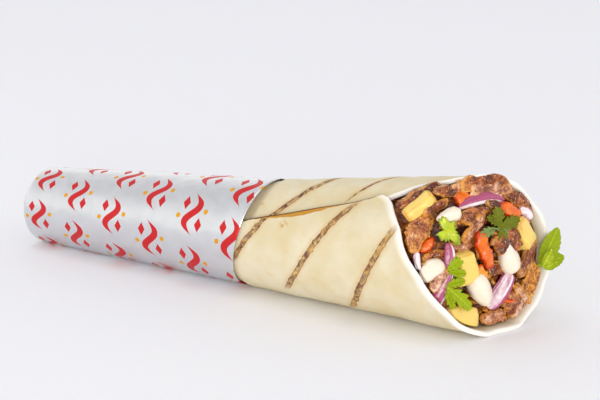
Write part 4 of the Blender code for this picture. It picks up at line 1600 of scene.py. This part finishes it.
# For each slice of meat that has a CAD node: the node's name after "meat_", where it lies, its outline,
# its thickness, its dome, its tone and how golden it is.
SLICES = (
    ("centre", (9.5, 7.0, 2.2, 0, 0, -6), (9.5, 9.2, 5, 6, 8.5, 8, 5.5, 9), 3.2, 1.4, 0.45, 0.25),
    ("fold", (-9.0, 15.8, 1.9, 36, 24, 0), (10.5, 3.8, 3, 3.4, 9.5, 3.4, 2.8, 4), 2.4, 0.8, 0.05, 0.55),
    ("knuckle", (-6.5, 21.6, 1.2, 12, -10, 0), (9, 4.2, 3.3, 3.8, 7.5, 6.5, 2.8, 3.4), 3.2, 1.8, 0.3, 0.5),
    ("over_onion", (6.2, 24.3, 1.6, -20, 0, 0), (4.8, 3.2, 2.4, 3, 4, 3, 2.4, 3), 2.6, 0.8, 0.7, 0.1),
    ("left", (-27.0, 14.8, 0.9, 66, -6, 0), (11, 6.6, 5.4, 6, 11, 6.8, 6.4, 8), 2.8, 1.0, 0.2, 0.8),
    ("strip", (-16.9, 25.3, 0.9, 30, 14, 0), (7.2, 3.4, 2.6, 3, 7, 3, 2.6, 3.4), 3.0, 1.0, 0.45, 0.55),
    ("curl", (-12.0, 32.6, 1.2, -12, -10, 0), (6.6, 3.8, 3, 3.6, 5.8, 3.4, 2.8, 3.6), 2.6, 1.4, 0.6, 0.1),
    ("back", (-21, 31.0, -4.4, 16, 0, 0), (13.5, 6, 5, 6, 12.5, 5.6, 5, 6), 3.0, 0.6, 0.75, 0.0),
    ("top", (6.6, 35.6, 1.4, -3, 0, 0), (13.5, 6.2, 2.6, 5, 14.5, 4.6, 2.0, 4.2), 2.8, 0.4, 0.35, 0.6),
    ("top_inner", (8.2, 32, 1.3, -7, 0, 0), (12.5, 3.6, 1.9, 3.4, 11.5, 3.4, 1.8, 3.4), 2.6, 0.4, -0.05, 0.3),
    ("top_right", (23, 25.4, 0.3, -33, 0, 0), (9.8, 5.5, 4.5, 5, 9.5, 4.5, 4.2, 5.4), 3.2, 2.2, 0.4, 0.5),
    ("right", (23.6, -6, 0.0, 55, 0, 0), (9.6, 4, 3, 4, 9.2, 3.8, 3, 4), 3.0, 0.8, 0.15, 0.2),
    ("browned", (26.2, -18.0, 0.3, 62, 0, 0), (10.5, 7, 5.6, 6.4, 10, 6, 4.4, 6), 2.6, -0.6, 0.3, 1.5),
    ("low_right", (13.8, -25.2, 1.0, 0, 0, 0), (8, 6.6, 9, 6.2, 6.6, 6, 7, 7.4), 2.8, 1.2, 0.4, 0.45),
    ("low", (1.6, -30.0, 0.2, 6, 0, 0), (9.5, 4.6, 3.4, 4.4, 7.6, 4.4, 4.2, 4.8), 3.0, 0.8, 0.1, 0.4),
    ("low_left", (-25.6, -18.4, -0.8, -40, 0, 0), (6.4, 4.2, 3.4, 4, 6.2, 4, 3.6, 4.2), 2.6, 0.8, 0.35, 0.7),
    ("near", (-31.6, -6.6, 3.6, 46, -12, 0), (8.2, 3.8, 3, 3.4, 6.6, 3.4, 2.6, 3.4), 2.4, 1.2, -0.2, 0.4),
    ("deep", (-15, 8.2, -0.6, -10, 0, 0), (5.6, 4, 3, 4, 5.2, 3.6, 3, 3.6), 2.8, 0.6, 0.15, 0.2),
    ("inner", (5.2, -6.8, -1.4, -10, 0, 0), (6.2, 4.2, 3.2, 4, 5.6, 4, 3.6, 4.2), 2.8, 0.8, 0.55, 0.1),
)
# The same for the thin slices without a CAD node.
STRIP = (9.5, 3.6, 2.7, 3.6, 9.5, 3.6, 2.7, 3.4)
SHORT = (6, 3.0, 2.2, 2.8, 6, 2.8, 2.2, 3.0)
LOOSE_SLICES = (
    ("behind_tomato", (-4.6, 34.4, 0.2, 24, 0, 0), (6.6, 3.4, 3, 3.4, 6.4, 3.4, 3, 3.4), 2.4, 0.8, 0.0, 0.3),
    ("under_top", (6.8, 31.2, 1.1, -7, 0, 0), STRIP, 1.8, 0.2, -0.5, 0.1),
    ("far_right", (28.6, 19.6, 0.0, -52, 0, 0), SHORT, 2.6, 1.0, 0.2, 0.3),
    ("far_strip", (27.6, -3.4, 0.2, 63, 20, 0), (7.5, 2, 1.5, 2, 7.5, 2, 1.5, 2), 2.2, 0.6, 0.0, 0.1),
    ("red", (-28.0, 5.0, -0.6, 20, 0, 0), SHORT, 2.4, 0.8, 0.4, 0.6),
    ("pale_low", (17.6, -28.2, 1.6, 52, 0, 0), SHORT, 2.0, 0.6, -0.3, 0.0),
    ("low_edge", (18.0, -20.6, 2.8, -50, 30, 0), (8, 2.4, 1.6, 2.2, 7.5, 2, 1.5, 2.2), 2.0, 0.8, -0.3, 0.9),
    ("low_rim", (20.5, -28, -0.2, 42, 0, 0), (9, 3.8, 3.2, 3.8, 8.5, 3.6, 3, 3.8), 2.4, 0.6, 0.3, 0.9),
    ("low_rim_left", (5.5, -34, -0.2, 8, 0, 0), (8.5, 3.2, 2.8, 3.4, 8, 3.2, 2.8, 3.2), 2.4, 0.6, 0.5, 0.5),
)
# How much the slices at the top bow, in 1/mm. They may stand out over the bread too.
BOWS = {"top": 0.012, "top_inner": 0.011, "under_top": 0.016}
# For each piece of tomato: its node's name after "tomato_", where it lies, its outline and its thickness.
TOMATOES = (
    ("upper", (-5.6, 28.2, 0.2, 0, 0, 0), (5.4, 4.6, 4.4, 6, 5, 4.4, 4.6, 3.6), 3.4),
    ("right", (14.6, 20.0, 1.8, -35, 0, 0), (7.6, 5.4, 3.8, 4.4, 7.4, 4.4, 3.2, 4.6), 3.2),
    ("middle", (-4.8, 5.0, 2.2, -66, 0, 0), (10.5, 5.4, 3.4, 4.4, 9.5, 6.4, 3.2, 2.8, 5.2), 3.0),
    ("lower", (-8.2, -7.0, 3.4, 0, 0, 0), (3.8, 4.2, 6.2, 5.4, 3.8, 4.6, 5.4, 4.6), 3.0),
    ("left", (-27.8, 9.3, -0.8, 40, 0, 0), (4.8, 3.2, 2.6, 3, 4.4, 3.2, 2.6, 3.2), 3.6),
    ("sliver", (10, -22.8, 2.6, -12, 20, 0), (5.4, 1.9, 1.1, 1.8, 5.2, 1.7, 1.0, 1.7), 2.0),
)
# The lettuce scrap's outline.
LETTUCE_REACH = (4.0, 5.6, 6.6, 5.6, 6.8, 4.4, 3.0, 5.8, 7.2, 5.4, 6.4, 6.4)


@dataclass
class Filling:
    """Everything that shows in the mouth, in front of the heap."""

    crumbs: int = 240
    crumb_seed: int = 4
    crumb_spread: float = 33.0
    top_over: float = 1.6
    stalk_radius: float = 0.9 * MM

    def meat(self) -> list[Slab]:
        """Lists the shaved slices.

        Returns:
            The slices; a name that ends in _slice stands for the CAD node of that name.
        """
        slabs = []
        for number, (name, at, reach, thick, dome, tone, gold) in enumerate(SLICES + LOOSE_SLICES):
            look = {"bow": BOWS[name], "over": self.top_over} if name in BOWS else {}
            ending = "_slice" if number < len(SLICES) else ""
            look |= {"tone": tone, "gold": gold, "seed": 3 + 4 * number}
            slabs.append(Slab(f"meat_{name}{ending}", at, reach, thick, dome, **look))
        return slabs

    def tomatoes(self) -> list[Slab]:
        """Lists the pieces of tomato.

        Returns:
            The pieces, each named after its CAD node.
        """
        look = {"ragged": 0.22, "relief": 0.3, "ripple": 1.8, "gold": 0.6, "rings": 28, "spokes": 64}
        return [
            Slab(f"tomato_{name}_piece", at, reach, thick, 0.7, seed=60 + 5 * number, **look)
            for number, (name, at, reach, thick) in enumerate(TOMATOES)
        ]

    def fries(self) -> list[Block]:
        """Lists the chips of potato.

        Returns:
            The chips, each named after its CAD node.
        """
        lower = {"taper": -0.12, "bend": 1.6, "squareness": 5.0}
        return [
            Block("fry_left_chip", 17, 7.8, 7.4, (-21.4, 25.9, -1.0, 36, 12, 0), bend=1.0),
            Block("fry_right_chip", 16, 11.5, 8.5, (21.8, 9.0, 0.8, -64, -14, 6), taper=0.3, squareness=5.0),
            Block("fry_middle_chip", 15.5, 12.5, 8.5, (-15.6, -2.0, 1.0, -80, 6, 6), taper=0.2),
            Block("fry_lower_chip", 18.5, 10.4, 8.4, (-17.2, -26.6, 0.0, -10, -16, 0), **lower),
        ]

    def cloves(self) -> list[Block]:
        """Lists the smooth white pieces.

        Returns:
            The pieces, each named after its CAD node.
        """
        look = {"bend": 0.4, "cuts": 16, "squareness": 2.2, "rough": 0.35, "worn": 0.0, "ridge": 1.0}
        return [
            Block("garlic_upper_drop", 12.5, 8.4, 7.6, (-15.0, 21.4, 1.5, 16, 0, -8), taper=0.4, **look),
            Block("garlic_right_drop", 23, 14.6, 12, (10.0, 1.6, 1.0, -78, 0, -4), taper=0.8, **look),
            Block("garlic_lower_drop", 18, 8.4, 8.0, (-7.6, -14.0, 1.8, -68, 0, -8), taper=-0.6, **look),
            Block("garlic_left_drop", 14, 12, 11, (-31.2, -1.8, 0.2, 28, 0, 0), taper=0.35, **look),
        ]

    def onions(self) -> list[OnionStrip]:
        """Lists the strips of red onion.

        Returns:
            The strips, each named after its CAD node.
        """
        upper = (
            (-10.2, 24.4, 1.8, 1.6, -6),
            (-5.5, 26.2, 1.9, 4.6, -6),
            (-0.4, 27.4, 1.9, 6.0, -4),
            (5.5, 28.0, 1.8, 6.0, 0),
            (10.4, 27.2, 1.5, 5.4, 4),
            (14.6, 25.2, 1.0, 3.0, 8),
        )
        left = (
            (-21.4, 10.0, 2.0, 4.0, 30),
            (-22.6, 5.5, 2.6, 5.4, 32),
            (-24.0, 0.5, 2.8, 5.8, 32),
            (-25.8, -4.6, 2.6, 5.4, 30),
            (-28.2, -10.0, 2.2, 6.0, 28),
            (-31.0, -15.0, 1.6, 7.0, 24),
            (-33.4, -19.4, 0.8, 7.0, 20),
        )
        lower = (
            (11.6, -9.2, 1.0, 5.0, 26),
            (9.2, -12.8, 1.6, 7.4, 28),
            (5.4, -17.0, 1.8, 8.2, 30),
            (1.4, -21.4, 1.6, 7.6, 28),
            (-1.6, -24.6, 0.8, 5.2, 24),
        )
        right = ((22.6, 19.6, 1.0, 4.0, 10), (26.4, 18.0, 1.2, 5.4, 10), (30.0, 14.4, 0.8, 4.4, 10))
        chip = ((-36.6, -0.6, 0.6, 3.0, 10), (-35.0, 3.2, 1.2, 4.0, 10), (-32.6, 6.2, 0.8, 3.4, 10))
        return [
            OnionStrip("onion_upper_strip", upper, (1.25, 1.0, -0.4)),
            OnionStrip("onion_left_strip", left, (-0.3, 0.9, 1.1), edge_from=0.74),
            OnionStrip("onion_lower_strip", lower, (1.3, 0.5, 0.9), edge_from=0.6, cup=0.5),
            OnionStrip("onion_right_strip", right, (0.5, 0.25, 0.6)),
            OnionStrip("onion_chip_strip", chip, (0.5, 0.1, 0.3)),
        ]

    def sprigs(self) -> list[tuple[str, str, TwoTone, list[Blade], list[Vector]]]:
        """Lists the herbs.

        Returns:
            Each herb's name, its CAD node, its finish, its leaflets and the steps of its stalk from its foot.
        """
        parsley, mint = Herb.PARSLEY, Herb.MINT
        upper = [
            Blade(parsley, 9.5, 8.0, (5.0, 14.8, 3.4, 104, -14, -20), droop=2.2),
            Blade(parsley, 15.0, 7.5, (4.0, 14.6, 3.6, 6, -10, -6), droop=2.6),
            Blade(parsley, 8.5, 6.0, (5.0, 15.0, 3.8, 140, 16, -8), droop=1.6),
            Blade(parsley, 8.5, 6.0, (5.6, 14.4, 3.2, -84, 10, -6), droop=1.4),
        ]
        pale = [
            Blade(parsley, 10.5, 5.5, (3.4, 14.2, 2.8, 190, 16, -6), droop=1.0),
            Blade(parsley, 14.0, 5.5, (3.0, 13.8, 3.0, -16, 14, -4), droop=2.0),
        ]
        middle = [
            Blade(parsley, 9.5, 6.5, (-26.0, -2.0, 4.4, 32, -16, -12), droop=1.6),
            Blade(parsley, 9.5, 5.0, (-25.8, -2.6, 4.4, -10, -10, -12), droop=1.6),
        ]
        lower = [
            Blade(parsley, 19.0, 8.6, (-27.6, -8.4, 3.4, -43, -14, -10), droop=2.4, pale=0.12),
            Blade(parsley, 10.5, 5.5, (-27.4, -8.2, 3.6, 8, -16, -12), droop=1.6),
            Blade(parsley, 12.0, 5.5, (-27.4, -9.0, 3.2, -72, 6, -10), droop=1.6),
        ]
        tips = [
            Blade(mint, 21.0, 10.4, (32.6, -9.8, 1.8, 60, -24, -12), cup=0.2, droop=2.0),
            Blade(mint, 14.5, 8.0, (32.4, -9.0, 1.6, 8, -12, -22), cup=0.2, droop=1.5),
            Blade(mint, 10.0, 6.5, (31.2, -9.6, 4.6, 76, -16, -26), cup=0.25, droop=0.6, pale=0.5),
            Blade(mint, 7.5, 5.0, (31.4, -10.4, 5.0, 26, -10, -32), cup=0.25, droop=0.4, pale=0.5),
        ]
        stem = [Vector(step) for step in ((-6, -1, -7), (-3, -0.4, -3), (0, 0, 0), (2.6, 1.6, 1.0))]
        return [
            ("parsley_upper_leaf", "parsley_upper", DARK_PARSLEY, upper, []),
            ("parsley_pale_leaf", "parsley_pale", PALE_PARSLEY, pale, []),
            ("parsley_middle_leaf", "parsley_middle", PARSLEY, middle, []),
            ("parsley_lower_leaf", "parsley_lower", PARSLEY, lower, []),
            ("mint_sprig_leaves", "mint_sprig", MINT, tips, stem),
        ]

    def build_sprigs(self) -> None:
        """Builds the dressed herbs, each joined to one piece."""
        slots = {"parsley_pale": "lettuce", "mint_sprig": "mint_leaf"}
        finishes = {look.name: look.build() for look in (DARK_PARSLEY, PARSLEY, PALE_PARSLEY, MINT)}
        for name, node, look, blades, steps in self.sprigs():
            parts = [blade.shape(f"{name}_{number}") for number, blade in enumerate(blades)]
            if steps:
                foot = Vector(blades[0].at[:3])
                path = [MOUTH.frame(*(foot + step)).translation for step in steps]
                parts.append(stalk(f"{name}_stem", path, self.stalk_radius))
            finish_piece(joined(name, parts), finishes[look.name], slots.get(node, "parsley"), node)

    def build_crumbs(self, finish: Material) -> None:
        """Builds small shreds of meat in the gaps between the pieces, joined to one.

        Args:
            finish: the meat's material.
        """
        draw = np.random.default_rng(self.crumb_seed)
        parts = []
        for number in range(self.crumbs):
            away = self.crumb_spread * math.sqrt(draw.uniform())
            way = draw.uniform(0, math.tau)
            spot = (away * math.cos(way), away * math.sin(way), draw.uniform(-3.8, -0.9))
            at = (*spot, *draw.uniform(-50, 50, 3))
            size = draw.uniform(1.4, 3.6)
            reach = tuple(size * draw.uniform(0.5, 1.1, 6))
            look = {"tone": draw.uniform(0.1, 1.0), "gold": draw.uniform(0, 0.7), "rings": 10, "spokes": 16}
            look |= {"thickness": draw.uniform(1.2, 2.4), "dome": 0.3, "seed": 200 + number}
            parts.append(Slab(f"meat_crumb_{number}", at, reach, **look).shape())
        finish_piece(joined("meat_crumbs", parts), finish, "roast_meat")

    def build(self) -> None:
        """Builds all the pieces of the filling."""
        meat = RoastMeat().build()
        MeatHeap().build(meat)
        for slab in self.meat():
            node = [slab.name.removesuffix("_slice")] if slab.name.endswith("_slice") else []
            finish_piece(slab.shape(), meat, "roast_meat", *node)
        self.build_crumbs(meat)
        red, amber = TOMATO.build(), AMBER_TOMATO.build()
        for slab in self.tomatoes():
            skin = amber if slab.name.startswith("tomato_lower") else red
            finish_piece(slab.shape(), skin, "tomato", slab.name.removesuffix("_piece"))
        for look, slot, pieces in (
            (POTATO, "fried_potato", self.fries()),
            (GARLIC, "white_garlic", self.cloves()),
            (ONION, "red_onion", self.onions()),
        ):
            finish = look.build()
            for piece in pieces:
                finish_piece(piece.shape(), finish, slot, piece.name.rpartition("_")[0])
        look = {"ragged": 0.3, "relief": 0.15, "ripple": 2.0, "frill": 0.9, "gold": 0.5, "seed": 40}
        lettuce = Slab("lettuce_scrap_leaf", (-18.8, 15.0, 2.7, 0, 0, 0), LETTUCE_REACH, 0.7, 0.6, **look)
        finish_piece(lettuce.shape(), LETTUCE.build(), "lettuce", "lettuce_scrap")
        self.build_sprigs()


# ---------------------------------------------------------------- studio


@dataclass
class Studio:
    """A plain pale floor, soft light and the camera."""

    azimuth: float = math.radians(32)
    elevation: float = math.radians(16)
    distance: float = 772 * MM
    target: Vector = Vector((22 * MM, 0.0, 49 * MM))
    lens_mm: float = 90.0
    floor_colour: str = "#F6F6FA"
    sky: str = "#CBCBCF"
    wall: str = "#FFFFFF"
    world_strength: float = 1.12
    overhead: tuple[float, float] = (0.3, 0.9)
    key_colour: str = "#FFFBF6"
    floor_size: float = 8.0
    sensor_width: float = 36.0

    def build(self) -> None:
        """Adds floor, lights and camera."""
        bpy.ops.mesh.primitive_plane_add(size=self.floor_size, location=(0, 0, 0))
        floor = named(bpy.context.active_object, "studio_floor")
        paint = TwoTone("matte_floor", self.floor_colour, self.floor_colour, roughness=0.9)
        floor.data.materials.append(paint.build())
        self.light("soft_top", (-0.35, -0.1, 1.5), 0.6, 2.0)
        self.light("soft_front", (0.75, -1.2, 0.16), 0.5, 7.5)
        self.surroundings()
        level = math.cos(self.elevation)
        along, across = math.sin(self.azimuth) * level, -math.cos(self.azimuth) * level
        back = Vector((along, across, math.sin(self.elevation)))
        camera = bpy.data.objects.new("camera", bpy.data.cameras.new("camera"))
        bpy.context.scene.collection.objects.link(camera)
        camera.data.lens = self.lens_mm
        camera.data.sensor_width = self.sensor_width
        camera.location = self.target + CENTRING + back * self.distance
        camera.rotation_euler = back.to_track_quat("Z", "Y").to_euler()
        bpy.context.scene.camera = camera
        bpy.context.scene.view_settings.view_transform = "Standard"

    def surroundings(self) -> None:
        """Adds a pale room, a little darker overhead than round about."""
        world = bpy.data.worlds.new("studio_world")
        bpy.context.scene.world = world
        world.use_nodes = True
        tree = world.node_tree
        tree.nodes.clear()
        height = add(tree, Kind.HEIGHT, add(tree, Kind.WAY))
        share = add(tree, Kind.RANGE, height, *self.overhead, interpolation_type="SMOOTHSTEP")
        colour = add(tree, Kind.BLEND, share, self.wall, self.sky)
        add(tree, Kind.WORLD, add(tree, Kind.GLOW, colour, self.world_strength))

    def light(self, name: str, place: tuple[float, float, float], size: float, power: float) -> None:
        """Adds a square softbox that faces the sandwich.

        Args:
            name: the light's name.
            place: where it stands.
            size: the length of its side.
            power: how strong it is, in watts.
        """
        lamp = bpy.data.lights.new(name, "AREA")
        lamp.size = size
        lamp.energy = power
        lamp.color = linear(self.key_colour)[:3]
        holder = bpy.data.objects.new(name, lamp)
        bpy.context.scene.collection.objects.link(holder)
        holder.location = place
        holder.rotation_euler = (Vector(place) - self.target).to_track_quat("Z", "Y").to_euler()


def main() -> None:
    """Builds the sandwich and the studio."""
    logging.basicConfig(level=logging.INFO, format="%(message)s")
    bpy.ops.object.select_all(action="DESELECT")
    FoilSleeve().build()
    Flatbread().build()
    Filling().build()
    Studio().build()


if __name__ == "__main__":
    main()
